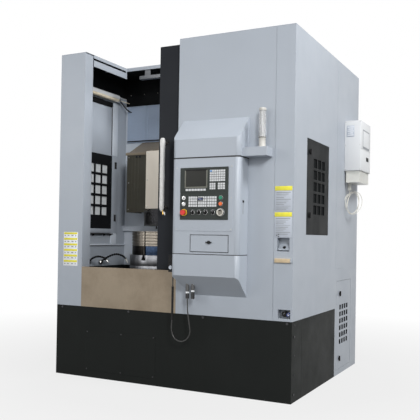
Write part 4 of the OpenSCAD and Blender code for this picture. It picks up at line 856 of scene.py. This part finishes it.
class LATHE_OT_corner(bpy.types.Operator):
    """Holster shelf, tan ledge cover, gauge and coupling in the low pocket."""
    bl_idname = "lathe.corner"
    bl_label = "Corner fittings"

    def execute(self, context):
        shelf = Piece("holster_shelf", "panel", "black")
        x = 0.9505
        shelf.fold([(x, -0.8955, 1.106), (x, -0.860, 1.150), (x, -0.857, 1.148), (x, -0.8925, 1.104)],
                   (0.088, 0, 0))
        shelf.turned([(0, 0.0022), (0.006, 0.0022), (0.009, 0.0012), (0.012, 0.001), (0.0128, 0)],
                     (0.9945, -0.8795, 1.1262), (0, -0.78, 0.63), 1)
        shelf.done()
        ledge = Piece("ledge_cover", "tan")
        ledge.slab((0.9335, -0.9215, 1.0150), (1.0555, -0.9052, 1.0460), 0.003, 0, 3)
        ledge.done()
        low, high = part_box("air_fittings")
        gauge = Piece("air_gauge", "black", "chrome", "sheet", "fitting_blue")
        at = Vector((low.x + 0.020, low.y - 0.0002, (low.z + high.z) / 2))
        gauge.turned([(0, 0.0006), (0.0148, 0.0006), (0.0152, 0.0026), (0.0182, 0.0032), (0.0198, 0.0016),
                      (0.0198, 0)], at, AHEAD, 0, 40)
        gauge.turned([(0, 0.0011), (0.0135, 0.0010), (0.0138, 0.0004)], at, AHEAD)
        gauge.slab(at + Vector((-0.0006, -0.0018, -0.002)), at + Vector((0.0006, -0.0012, 0.010)), 0.0001, 2)
        gauge.done()
        plug = Piece("air_coupling", "fitting_blue", "sheet", "brass")
        at = Vector((high.x - 0.012, -0.8850, (low.z + high.z) / 2))
        plug.turned([(0.0122, 0.004), (0.0128, 0.005), (0.0128, 0.018), (0.0122, 0.019)], at, AHEAD)
        plug.turned([(0, 0.0024), (0.0118, 0.0022), (0.0122, 0.0015), (0.0122, 0)],
                    (at.x, low.y, at.z), AHEAD, 1)
        plug.done()
        return {"FINISHED"}


class LATHE_OT_console_trim(bpy.types.Operator):
    """Screws, bezels, scales and windows on the operator console."""
    bl_idname = "lathe.console_trim"
    bl_label = "Console trim"

    def execute(self, context):
        self.screws()
        self.seams()
        self.bezels()
        self.scales()
        self.windows()
        self.dial()
        return {"FINISHED"}

    def screws(self):
        """Screws of the operator plate and of both units."""
        piece = Piece("console_screws", "zinc", "bolt")
        piece.screws((0.197, 0.653), PLATE_Y, (1.250, 1.480, 1.710), 0.0042, 0.0022)
        piece.screws((0.236, 0.621), UNIT_Y, (1.531, 1.702), 0.0032, 0.0014, 1)
        piece.screws((0.236, 0.621), PANEL_Y, (1.327, 1.505), 0.0032, 0.0014, 1)
        piece.done()

    def plan(self, grow, z):
        """Front outline of the console from rear left to rear right, grown outwards."""
        r, points = 0.032 + grow, [(0.152 - grow, -0.9052, z)]
        for x, start in ((0.184, 180), (0.680, 270)):
            points += [(x + r * math.cos(math.radians(start + 9 * k)),
                        -1.038 + r * math.sin(math.radians(start + 9 * k)), z)
                       for k in range(11)]
        return points + [(0.712 + grow, -0.9052, z)]

    def seams(self):
        """Dark belts in the groove and under the hood, frame of the flap, catch in the side slot."""
        strip = Piece("console_seams", "rubber", "black", "mark")
        for low, high, out, back in ((1.7790, 1.7889, 0.0007, -0.0006), (1.0602, 1.0658, -0.0006, -0.0029)):
            strip.fold(self.plan(out, low) + self.plan(back, low)[::-1], (0, 0, high - low))
        for x0, x1, z0, z1 in ((0.3146, 0.6334, 1.2068, 1.2100), (0.3146, 0.6334, 1.0785, 1.0818),
                               (0.3146, 0.3178, 1.0785, 1.2100), (0.6302, 0.6334, 1.0785, 1.2100)):
            strip.slab((x0, CONSOLE_Y - 0.0008, z0), (x1, CONSOLE_Y + 0.0001, z1), 0.0003)
        strip.slab((0.7085, -1.0008, 1.3655), (0.7112, -0.9892, 1.4645), 0.0005, 2)
        strip.slab((0.7105, -1.0060, 1.4500), (0.7165, -0.9840, 1.4660), 0.0020, 1)
        strip.done()

    def bezels(self):
        """Strip between the console units and rings round the controls."""
        panel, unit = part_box("control_panel"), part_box("cnc_unit")
        joint = Piece("unit_joint", "charcoal", "bolt")
        joint.slab((panel[0].x + 0.0008, PLATE_Y - 0.0042, panel[1].z - 0.0004),
                   (panel[1].x - 0.0008, PLATE_Y + 0.0002, unit[0].z + 0.0004), 0.0006)
        for x in (panel[0].x + 0.020, panel[1].x - 0.020):
            joint.screw((x, PLATE_Y - 0.0042, (panel[1].z + unit[0].z) / 2), AHEAD, 0.0024, 0.0010, 1)
        joint.done()
        piece = Piece("control_bezels", "chrome", "yellow", "black", "key")
        for x, z in [(x, ROW_Z) for x in SELECTOR_X] + [(DIAL_X, z) for z in BUTTON_Z]:
            piece.turned([(0.0156, 0.0032), (0.0162, 0.0038), (0.0172, 0.0034), (0.0180, 0.0006),
                          (0.0180, 0)], (x, PANEL_Y, z), AHEAD, 0, 40)
        piece.turned([(0.0212, 0.0082), (0.0222, 0.0088), (0.0248, 0.0086), (0.0264, 0.0070), (0.0266, 0)],
                     (STOP_X, PANEL_Y, ROW_Z), AHEAD, 1, 48)
        for z, slot in zip(BUTTON_Z, (2, 3)):
            at = (STOP_X, PANEL_Y, z)
            piece.turned([(0, 0.0064), (0.0075, 0.0064), (0.0080, 0.0054), (0.0104, 0.0054),
                          (0.0112, 0.0070), (0.0148, 0.0064), (0.0156, 0.0010), (0.0156, 0)],
                         at, AHEAD, 0, 40)
            piece.turned([(0, 0.0076), (0.0062, 0.0072), (0.0070, 0.0060)], at, AHEAD, slot, 24)
        piece.slab((0.2630, PANEL_Y - 0.0098, 1.4760), (0.2650, PANEL_Y - 0.0062, 1.4880), 0.0004, 0)
        piece.done()

    def scales(self):
        """Plain tick marks round the selectors, and a line on each selector knob."""
        piece = Piece("control_scales", "key")
        reach = 60
        for x, count in zip(SELECTOR_X, (5, 5, 7, 7)):
            for k in range(count):
                a = math.radians(-reach + 2 * reach * k / (count - 1))
                at = Vector((x + 0.0215 * math.sin(a), PANEL_Y, ROW_Z + 0.0215 * math.cos(a)))
                side = (Vector((math.cos(a), 0, -math.sin(a))), Vector((math.sin(a), 0, math.cos(a))))
                piece.printed(at, 0.0011, 0.0038, 0, 0.0003, side, 1)
        piece.done()
        for k, x in enumerate(SELECTOR_X, 1):
            line = Piece(f"selector_line_{k}", "key")
            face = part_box(f"selector_{k}")[0].y
            line.printed((x, face, ROW_Z + 0.0065), 0.0018, 0.0095, 0, 0.0006)
            line.done(f"selector_{k}")

    def windows(self):
        """Frame of the display, small display and blue key."""
        piece = Piece("unit_windows", "black", "led", "key_blue", "bezel")
        low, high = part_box("cnc_screen")
        mid = (low + high) / 2
        for x, z, w, h in ((mid.x, high.z + 0.004, 0.189, 0.010), (mid.x, low.z - 0.004, 0.189, 0.010),
                           (low.x - 0.004, mid.z, 0.010, 0.128), (high.x + 0.004, mid.z, 0.010, 0.128)):
            piece.slab((x - w / 2, UNIT_Y - 0.0028, z - h / 2), (x + w / 2, UNIT_Y, z + h / 2), 0.0012,
                       0 if z > high.z else 3)
        piece.plate((0.401, -1.0802, 1.474), FRONT, 0.046, 0.024, 0.0026, 0.002, 0)
        piece.plate((0.401, -1.0828, 1.474), FRONT, 0.040, 0.018, 0.0004, 0.001, 1, edge=0.0002)
        piece.plate((0.4885, -1.0820, 1.6790), FRONT, 0.0150, 0.0105, 0.0006, 0.001, 2, edge=0.0002)
        piece.done()

    def dial(self):
        """Knurled handwheel with a graduated skirt and a finger grip."""
        wheel = Piece("handwheel", "dial", "black", "mark", "dial_face")
        base = Vector((DIAL_X, -1.0783, ROW_Z))
        wheel.turned([(0.007, -0.0143), (0.007, 0), (0.0285, 0), (0.030, 0.0012), (0.030, 0.0040),
                      (0.0272, 0.0052)], base, AHEAD, 2, 64)
        rows = []
        sides = 120
        for radius, depth_y, teeth in (
                (0.0272, 0.0052, 0), (0.0282, 0.0060, 1), (0.0282, 0.0160, 1), (0.0272, 0.0174, 0),
                (0.0225, 0.0180, 0), (0.0200, 0.0166, 0), (0.0, 0.0164, 0)):
            count = sides if radius else 1
            row = []
            for k in range(count):
                a = math.tau * k / sides
                r = radius - (0.0009 if teeth and k % 2 else 0)
                row.append(wheel.bm.verts.new(base + Vector((r * math.cos(a), -depth_y, r * math.sin(a)))))
            rows.append(row)
        wheel.skin(rows)
        wheel.claim(0)
        dish = base + Vector((0, -DISH_DEPTH, 0))
        wheel.turned([(0, 0.0004), (0.0186, 0.0004), (0.0192, 0)], dish, AHEAD, 3, 48)
        wheel.turned([(0.0042, 0), (0.0040, 0.004), (0.0049, 0.008), (0.0050, 0.0118), (0.0040, 0.0134),
                      (0, 0.0136)], dish + Vector((0, 0, 0.0140)), AHEAD, 1, 24)
        obj = wheel.done("dial", 30)
        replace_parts(obj, "mpg_dial")


class LATHE_OT_tower(bpy.types.Operator):
    """Signal tower: foot, ribbed clear lens with its lamp core, and cap."""
    bl_idname = "lathe.tower"
    bl_label = "Signal tower"

    def execute(self, context):
        low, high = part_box("tower_light")
        axis = Vector(((low.x + high.x) / 2, (low.y + high.y) / 2, low.z))
        foot = Piece("signal_tower", "tower", "core", "black")
        foot.turned([(0, 0), (0.0274, 0), (0.0274, 0.006), (0.0250, 0.010), (0.0246, 0.064), (0.0262, 0.068),
                     (0.0262, 0.078), (0.0, 0.078)], axis, slot=0, sides=40)
        foot.turned([(0.0, 0.0785), (0.0120, 0.0785), (0.0120, 0.2690), (0, 0.2690)], axis, slot=1, sides=8)
        for k in range(9):
            z = axis.z + 0.095 + 0.0195 * k
            for a in range(4):
                turn = math.radians(45 + 90 * a)
                foot.turned([(0, 0.0020), (0.0026, 0.0012), (0.0030, 0)],
                            (axis.x + 0.0112 * math.cos(turn), axis.y + 0.0112 * math.sin(turn), z),
                            (math.cos(turn), math.sin(turn), 0), 0, 10)
        foot.turned([(0, 0.2700), (0.0262, 0.2700), (0.0272, 0.2740), (0.0262, 0.2860), (0.0215, 0.2899),
                     (0, 0.2900)], axis, slot=0, sides=40)
        foot.turned([(0.0262, 0.0700), (0.0268, 0.0710), (0.0268, 0.0745), (0.0262, 0.0755)],
                    axis, slot=2, sides=40)
        obj = foot.done()
        lens = Piece("signal_lens", "lens")
        profile = [(0.0, 0.0790), (0.0252, 0.0790)]
        for k in range(24):
            z = 0.0800 + 0.0079 * k
            profile += [(0.0258, z), (0.0266, z + 0.0020), (0.0266, z + 0.0052), (0.0258, z + 0.0072)]
        profile += [(0.0252, 0.2695), (0.0, 0.2695)]
        lens.turned(profile, axis, sides=40)
        lens.done(sharp=60)
        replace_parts(obj, "tower_light")
        return {"FINISHED"}


class LATHE_OT_lubricator(bpy.types.Operator):
    """Box of the lubricator with its covers, plate, window and switch, and its drain neck."""
    bl_idname = "lathe.lubricator"
    bl_label = "Lubricator"

    def execute(self, context):
        low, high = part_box("lube_pump")
        face = high.x - 0.0030
        box = Piece("lubricator_box", "white")
        box.slab(low, (face, high.y, high.z), 0.004, 0, 3)
        for z0, z1 in ((low.z + 0.006, 2.0040), (2.0070, high.z - 0.006)):
            box.plate((face, (low.y + high.y) / 2, (z0 + z1) / 2), RIGHT, high.y - low.y - 0.012, z1 - z0,
                      0.0014, 0.004)
        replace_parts(box.done(), "lube_pump")
        piece = Piece("lubricator_trim", "sheet", "label", "zinc")
        front = low.y
        piece.plate((LABEL_X, front, 2.163), FRONT, 0.069, 0.102, 0.0012, 0.003, 1)
        for k in range(5):
            piece.printed((LABEL_X, front - 0.0012, 2.200 - 0.018 * k), 0.056 - 0.012 * (k % 2), 0.007)
        piece.screws((1.080, 1.210), front, (1.822, 2.040, 2.246), 0.0038, 0.002, 2)
        piece.done()
        side = Piece("lubricator_side", "mark", "black", "key")
        x = face + 0.0014
        side.plate((x, low.y + 0.187, 2.099), RIGHT, 0.245, 0.172, 0.0008, 0.006, 0)
        side.plate((x + 0.0008, low.y + 0.187, 2.103), RIGHT, 0.215, 0.140, 0.0006, 0.004, 2)
        side.plate((x, low.y + 0.240, 1.928), RIGHT, 0.090, 0.036, 0.0013, 0.004, 1)
        side.done()
        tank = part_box("lube_tank")[0]
        neck = Piece("drain_neck", "milky", "key")
        neck.turned([(0.0084, -0.004), (0.0150, -0.004), (0.0160, 0), (0.0160, 0.046), (0.0172, 0.048),
                     (0.0172, 0.0625), (0.0084, 0.0625)],
                    (HOSE_START.x, HOSE_START.y, tank.z + 0.0012), UPRIGHT, 0, 28)
        neck.done()
        return {"FINISHED"}


class LATHE_OT_door_trim(bpy.types.Operator):
    """Window gasket, handle feet, pull tag and film sleeve of the sliding door."""
    bl_idname = "lathe.door_trim"
    bl_label = "Door trim"

    def execute(self, context):
        low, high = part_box("door_glass")
        gasket = Piece("window_gasket", "rubber")
        for x0, x1, z0, z1 in ((low.x - 0.012, high.x + 0.012, high.z - 0.004, high.z + 0.014),
                               (low.x - 0.012, high.x + 0.012, low.z - 0.014, low.z + 0.004),
                               (low.x - 0.014, low.x + 0.004, low.z - 0.010, high.z + 0.010),
                               (high.x - 0.004, high.x + 0.014, low.z - 0.010, high.z + 0.010)):
            gasket.slab((x0, DOOR_Y - 0.004, z0), (x1, DOOR_Y + 0.0005, z1), 0.0018)
        gasket.done("door")
        trim = Piece("handle_trim", "black", "brass", "sheet")
        for z in (1.407, 1.953):
            trim.turned([(0.0125, 0.003), (0.0165, 0.0026), (0.0172, 0), (0.0125, 0)],
                        (HANDLE_X, DOOR_Y, z), AHEAD)
        trim.turned([(0.0075, 0.0), (0.0075, 0.006), (0.0062, 0.010), (0.0062, 0.034), (0.0070, 0.036),
                     (0, 0.037)], (-0.012, -0.9285, 1.4000), (0.12, 0, -1), 1, 20)
        tag = ((-0.0070, 1.392), (0.0060, 1.384), (0.0120, 1.362), (0.0060, 1.360), (-0.0040, 1.378))
        trim.fold([(x, -0.9290, z) for x, z in tag], (0, 0.0016, 0), 2)
        trim.done("door")
        self.sleeve()
        return {"FINISHED"}

    def sleeve(self):
        """Protective film round the handle bar, gathered at both ends."""
        film = Piece("handle_sleeve", "sleeve")
        rows = []
        sides, steps = 40, 90
        for i in range(steps + 1):
            t = i / steps
            z = 1.396 + 0.574 * t
            ends = min(1.0, 0.62 + 9 * t, 0.66 + 12 * (1 - t))
            swell = (1 + 0.20 * math.exp(-((t - 0.93) / 0.06) ** 2)
                     + 0.03 * math.sin(17 * t) + 0.02 * math.sin(41 * t + 1))
            row = []
            for k in range(sides):
                a = math.tau * k / sides
                crease = (1 + 0.018 * math.sin(5 * a + 13 * t)
                          + 0.014 * math.sin(11 * a - 29 * t) * math.sin(7 * t))
                cx, sx = math.cos(a), math.sin(a)
                square = (abs(cx) ** 3 + abs(sx) ** 3) ** (-1 / 3)
                row.append(film.bm.verts.new((
                    HANDLE_X + 0.0168 * ends * swell * crease * square * cx,
                    -0.9330 + 0.0180 * min(ends * crease, 1.03) * square * sx, z)))
            rows.append(row)
        film.skin(rows, caps=True)
        film.claim(0)
        film.done("door", 70)


class LATHE_OT_workspace(bpy.types.Operator):
    """Hinges, wipers, lamp shade, coolant arms and filter in the work space."""
    bl_idname = "lathe.workspace"
    bl_label = "Work space"

    def execute(self, context):
        self.lamp()
        self.grille()
        self.arms()
        self.wipers()
        return {"FINISHED"}

    def lamp(self):
        """Housing over the lamp tube, slotted guard below it, and its conduit."""
        x, z, back, front = -1.030, 2.510, -1.0655, -0.655
        lamp = Piece("lamp_housing", "white", "liner_black", "zinc", "rubber")
        section = ((back, 2.549), (-1.0060, 2.546), (-1.0050, 2.5125), (-1.0065, 2.5120),
                   (-1.0080, 2.5445), (back, 2.5475))
        lamp.fold([(px, front, pz) for px, pz in section], (0, 0.545, 0))
        lamp.slab((back, -0.790, 2.549), (-1.0620, 0.090, 2.556))
        for y in (-0.6560, -0.1130):
            lamp.turned([(0, 0), (0.0228, 0), (0.0240, 0.002), (0.0240, 0.022), (0.0228, 0.024)],
                        (x, y, z), (0, 1, 0), 2)
        lamp.slab((back, front, 2.430), (-1.0600, -0.105, 2.478), slot=1)
        for k in range(22):
            y = -0.645 + 0.0245 * k
            lamp.slab((-1.0602, y, 2.436), (-1.0570, y + 0.012, 2.472), 0.0008, 1, 1)
        conduit = smooth_path([(x, -0.0890, z), (x + 0.004, -0.045, 2.488), (x + 0.014, 0.010, 2.446),
                               (x + 0.026, 0.055, 2.424), (x + 0.034, 0.0930, 2.420)], 8)
        lamp.tube(conduit, 0.0062, 3, 14)
        lamp.done()
        # Painted shade: black sheets on the upper left wall, the upper back wall and under the roof stand in
        # for the unlit space above the lamp.
        liner = Piece("upper_painted_shade", "liner_black", "zinc")
        for low, high in (((-1.0656, -0.792, 2.5565), (-1.0630, 0.0935, 2.7440)),
                          ((-1.0630, -0.792, 2.7390), (-0.8220, -0.2980, 2.7450)),
                          ((-1.0630, 0.0912, 2.4790), (0.3290, 0.0945, 2.7390)),
                          ((-1.0630, -0.262, 2.7390), (0.3290, 0.0935, 2.7450))):
            liner.slab(low, high, 0.0008)
        liner.screws([-1.010 + 0.155 * k for k in range(9)], 0.0912, (2.590,), 0.005, 0.0025, 1)
        liner.done()

    def grille(self):
        """Filter, rim, ledges and hinges of the left grille."""
        pleated_mat("grille_filter", "machine", ("filter", "grille"), -1.0664, 0.0022, -1.0692,
                    -0.600, -0.065, 1.245, 1.940, 46)
        rim = Piece("grille_rim", "panel", "rubber", "bolt")
        rim.slab((-1.0602, -0.146, 1.217), (-1.0572, -0.042, 1.967), 0.0008)
        rim.slab((-1.0602, -0.622, 1.217), (-1.0572, -0.147, 1.256), 0.0008)
        rim.slab((-1.0658, -0.640, 1.2020), (-1.0430, -0.130, 1.2110), 0.0015, 1)
        for y in (-0.600, -0.430, -0.260, -0.160):
            rim.fold([(-1.0658, y, 1.202), (-1.0460, y, 1.202), (-1.0658, y, 1.184)], (0, 0.010, 0), 1)
        for z in (1.300, 1.500, 1.700, 1.900):
            rim.screw((-1.0600, -0.165, z), (1, 0, 0), 0.005, 0.0025, 2)
        rim.done()
        strip = Piece("wall_strip", "liner", "rubber")
        strip.slab((WALL_X, -0.148, 1.968), (-1.0565, -0.060, 2.4780), 0.0010)
        strip.slab((WALL_X, -0.148, 1.1120), (-1.0565, -0.060, 1.2150), 0.0010)
        strip.slab((WALL_X, -0.1515, 1.968), (-1.0590, -0.1485, 2.4280), 0.0006, 1)
        strip.slab((WALL_X, -0.790, 1.0980), (-1.0530, 0.0930, 1.1110), 0.0015)
        strip.slab((WALL_X, -0.790, 1.0935), (-1.0590, 0.0930, 1.0975), 0.0006, 1)
        strip.done()
        hinge = Piece("grille_hinges", "bolt", "rubber")
        for z in (1.330, 1.840):
            for k in range(3):
                hinge.turned([(0, 0), (0.0070, 0.0006), (0.0070, 0.0204), (0, 0.021)],
                             (-1.0510, -0.0900, z + 0.022 * k), UPRIGHT, 1, 16)
            hinge.slab((-1.0574, -0.106, z), (-1.0540, -0.074, z + 0.066), 0.0008, 1)
        hinge.done()

    def arms(self):
        """Jointed coolant arms on the left wall."""
        arm = Piece("coolant_arms", "black", "zinc", "brass")
        for route in ([(-1.034, -0.520, 0.945), (-0.990, -0.520, 0.982), (-0.930, -0.515, 1.000),
                       (-0.865, -0.505, 0.985), (-0.830, -0.500, 0.950)],
                      [(-1.034, -0.330, 0.945), (-0.960, -0.330, 0.990), (-0.860, -0.335, 1.020),
                       (-0.770, -0.345, 1.000), (-0.720, -0.352, 0.945)]):
            path = smooth_path(route, 24)
            radii = [0.0085 + 0.0020 * math.sin(math.tau * k / 6.0) for k in range(len(path))]
            arm.tube(path[:-14], radii[:-14], 0, 14)
            tip = path[-15:]
            arm.tube(tip, [0.0082 - 0.00020 * k for k in range(len(tip))], 1, 14)
            arm.turned([(0, -0.006), (0.022, -0.006), (0.022, 0.002), (0.016, 0.008), (0.013, 0.020),
                        (0, 0.020)], route[0], (1, 0, 0.7), 1, 24)
        arm.done()

    def wipers(self):
        """Edges of the way cover leaves and wiper lips."""
        low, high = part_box("way_cover")
        lips = Piece("way_wipers", "way", "rubber")
        width = (high.x - low.x) / 6
        for k in range(1, 6):
            x = low.x + width * k
            for x0, x1, proud, edge in ((x - 0.009, x + 0.009, 0.0045, 0.0012),
                                        (x + 0.009, x + 0.014, 0.0030, 0.0010)):
                lips.slab((x0, low.y - proud, low.z + 0.004), (x1, low.y + 0.0002, high.z - 0.004), edge)
        lips.slab((low.x + 0.004, low.y - 0.0060, 2.1220), (high.x - 0.004, low.y - 0.0046, 2.1340),
                  0.0005, 1)
        lips.done()


class LATHE_OT_turret_trim(bpy.types.Operator):
    """Clamp screws and tool tips of the turret, cover and pipes of its head."""
    bl_idname = "lathe.turret_trim"
    bl_label = "Turret trim"

    def execute(self, context):
        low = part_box("turret_disc")[0]
        x, z, front = SPINDLE[0], TURRET_Z, low.y + 0.012
        trim = Piece("turret_trim", "zinc", "brass", "bolt")
        for side in (-1, 1):
            for dz in (-0.045, -0.015, 0.015, 0.045):
                trim.screw((x + side * 0.050, front, z + dz), AHEAD, 0.0065, 0.0050, 2)
            for dz in (-0.030, 0, 0.030):
                tip = x + side * 0.0905
                trim.slab((tip - 0.0018, -0.4005, z + dz - 0.0070), (tip + 0.0018, -0.3845, z + dz + 0.0070),
                          0.0012)
        trim.slab((x - 0.0145, -0.4075, 1.2735), (x + 0.0145, -0.3775, 1.2960), 0.0016, 1)
        trim.turned([(0.0330, 0.0006), (0.0360, 0.0020), (0.0385, 0.0006)], (x, low.y, z), AHEAD, 2, 40)
        trim.done("turret")
        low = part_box("turret_housing")[0]
        head = Piece("head_trim", "black", "bolt", "bolt")
        plate_z, pipe_z = 1.354, 1.388
        for side in (-1, 1):
            at = x + side * 0.155
            head.plate((at, low.y, plate_z), FRONT, 0.062, 0.112, 0.0040, 0.006)
            head.screws((at - 0.024, at + 0.024), low.y - 0.004, (plate_z - 0.048, plate_z + 0.048),
                        0.0045, 0.0026, 1)
            pipe = smooth_path([(at, low.y - 0.004, pipe_z), (at, low.y - 0.020, 1.392),
                                (at - side * 0.006, low.y - 0.026, 1.412),
                                (at - side * 0.008, low.y - 0.012, 1.430),
                                (at - side * 0.008, low.y + 0.012, 1.4365)], 8)
            head.tube(pipe, 0.0058, 0, 12)
            head.turned([(0.0060, 0), (0.0100, 0.0004), (0.0100, 0.0100), (0.0062, 0.0110)],
                        (at, low.y - 0.003, pipe_z), (0, -1, 0.2), 2, 6)
        head.done("ram")
        return {"FINISHED"}


class LATHE_OT_vent_mats(bpy.types.Operator):
    """Pleated mats behind the vents of the side doors."""
    bl_idname = "lathe.vent_mats"
    bl_label = "Vent mats"

    def execute(self, context):
        for name, body, finish, *reach in (
                ("vent_mat", "vent_leaf", "vent_mat", -0.476, -0.143, 1.362, 1.843),
                ("rear_mat", "rear_leaf", "liner_black", 0.310, 0.626, 0.244, 0.630)):
            pleated_mat(name, body, (finish,), 1.0634, 0.0016, 1.0606, *reach, 40)
        return {"FINISHED"}


class LATHE_OT_fasteners(bpy.types.Operator):
    """Screws on the skirts and covers, lip and ribs of the saddle cover."""
    bl_idname = "lathe.fasteners"
    bl_label = "Fasteners"

    def execute(self, context):
        skirt = Piece("skirt_screws", "bolt")
        skirt.screws((-0.742, -0.400, -0.090), FRONT_Y - 0.003, (0.070, 0.382), 0.006, 0.003)
        for z in (0.060, 0.200, 0.340, 0.480, 0.560):
            for y in (-0.845, 0.165):
                skirt.screw((SIDE_X, y, z), (1, 0, 0))
        skirt.done()
        cover = Piece("saddle_screws", "zinc", "bolt")
        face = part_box("saddle_cover")[0].y
        cover.screws((-0.825, -0.600, 0.115), face, (1.440, 1.690, 1.930), 0.0055, 0.0028)
        cover.done("cross_saddle")
        lip = Piece("saddle_lip", "cover", "bolt")
        for x0, x1 in ((-0.853, -0.562), (-0.148, 0.143)):
            section = ((-0.014, 1.9480), (-0.014, 1.9700), (0.004, 1.9790), (0.004, 1.9740),
                       (-0.0105, 1.9670), (-0.0105, 1.9480))
            lip.fold([(x0, face + y, z) for y, z in section], (x1 - x0, 0, 0))
        for x in (-0.790, -0.755, -0.720, -0.625):
            lip.slab((x - 0.0012, face - 0.0016, 1.4180), (x + 0.0012, face + 0.0002, 1.9440), 0.0004)
        for x in (-0.735, -0.700):
            lip.slab((x - 0.010, face - 0.0090, 1.9240), (x + 0.010, face + 0.0002, 1.9440), 0.0020, 1)
        lip.done("cross_saddle")
        ram = Piece("ram_screws", "zinc")
        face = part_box("ram_cover")[0].y
        ram.screws((-0.528, -0.182), face, (1.456, 1.700, 1.946), 0.0055, 0.0028)
        ram.done("ram")
        return {"FINISHED"}


class LATHE_OT_pendant_trim(bpy.types.Operator):
    """Handwheel, selectors and clip of the hand pendant."""
    bl_idname = "lathe.pendant_trim"
    bl_label = "Pendant trim"

    def execute(self, context):
        piece = Piece("pendant_trim", "charcoal", "black", "label")
        front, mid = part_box("pendant")[0].y, 0.127
        piece.turned([(0, 0.0034), (0.006, 0.0034), (0.0075, 0.0044), (0.0132, 0.0044), (0.0148, 0.0030),
                      (0.0150, 0)], (mid, front, 0.955), AHEAD, 2, 40)
        for x in (0.1185, 0.1355):
            piece.turned([(0, 0.0046), (0.0044, 0.0044), (0.0052, 0.0036), (0.0056, 0)],
                         (x, front, 0.995), AHEAD, 1, 24)
        piece.turned([(0, 0.0042), (0.0046, 0.0036), (0.0056, 0.0020), (0.0056, 0)],
                     (mid, front, 1.027), AHEAD, 1, 24)
        piece.slab((0.1066, -0.992, 0.965), (0.1082, -0.975, 1.000), 0.0005, 2)
        piece.done()
        return {"FINISHED"}


class LATHE_OT_plugs(bpy.types.Operator):
    """Nuts and boots of the plugs under the console."""
    bl_idname = "lathe.plugs"
    bl_label = "Plugs"

    def execute(self, context):
        low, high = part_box("cord_plugs")
        piece = Piece("plug_boots", "rubber", "sheet")
        for x, drop in ((0.255, 0.040), (0.302, 0.052)):
            at = (x, (low.y + high.y) / 2, low.z - 0.0004)
            piece.turned([(0.0056, 0), (0.0108, 0.0004), (0.0138, 0.006), (0.0138, drop),
                          (0.0131, drop + 0.001)], at)
            for k in range(4):
                rise = 0.007 * k
                piece.turned([(0.0138, 0.010 + rise), (0.0144, 0.0115 + rise), (0.0144, 0.0135 + rise),
                              (0.0138, 0.015 + rise)], at)
            piece.turned([(0.0131, drop + 0.002), (0.0150, drop + 0.003), (0.0150, drop + 0.014),
                          (0.0131, drop + 0.015)], at, UPRIGHT, 1, 6)
        piece.done()
        return {"FINISHED"}


OPERATORS = (LATHE_OT_finishes, LATHE_OT_stage, LATHE_OT_cords, LATHE_OT_plates, LATHE_OT_corner,
             LATHE_OT_console_trim, LATHE_OT_tower, LATHE_OT_lubricator, LATHE_OT_door_trim,
             LATHE_OT_workspace, LATHE_OT_turret_trim, LATHE_OT_vent_mats, LATHE_OT_fasteners,
             LATHE_OT_pendant_trim, LATHE_OT_plugs)


class LATHE_PT_panel(bpy.types.Panel):
    """Lists the steps and the values that may be changed."""
    bl_idname = "LATHE_PT_panel"
    bl_label = "Lathe"
    bl_space_type = "VIEW_3D"
    bl_region_type = "UI"
    bl_category = "Lathe"

    def draw(self, context):
        layout = self.layout
        for group in (context.scene.lathe_colours, context.scene.lathe_sizes):
            for name in group.__annotations__:
                layout.prop(group, name)
        for step in OPERATORS:
            layout.operator(step.bl_idname)


CLASSES = (LatheColours, LatheSizes) + OPERATORS + (LATHE_PT_panel,)


def register():
    for cls in CLASSES:
        bpy.utils.register_class(cls)
    bpy.types.Scene.lathe_colours = PointerProperty(type=LatheColours)
    bpy.types.Scene.lathe_sizes = PointerProperty(type=LatheSizes)


def unregister():
    del bpy.types.Scene.lathe_sizes
    del bpy.types.Scene.lathe_colours
    for cls in reversed(CLASSES):
        bpy.utils.unregister_class(cls)


def main():
    register()
    for step in OPERATORS:
        group, name = step.bl_idname.split(".")
        getattr(getattr(bpy.ops, group), name)()


if __name__ == "__main__":
    main()
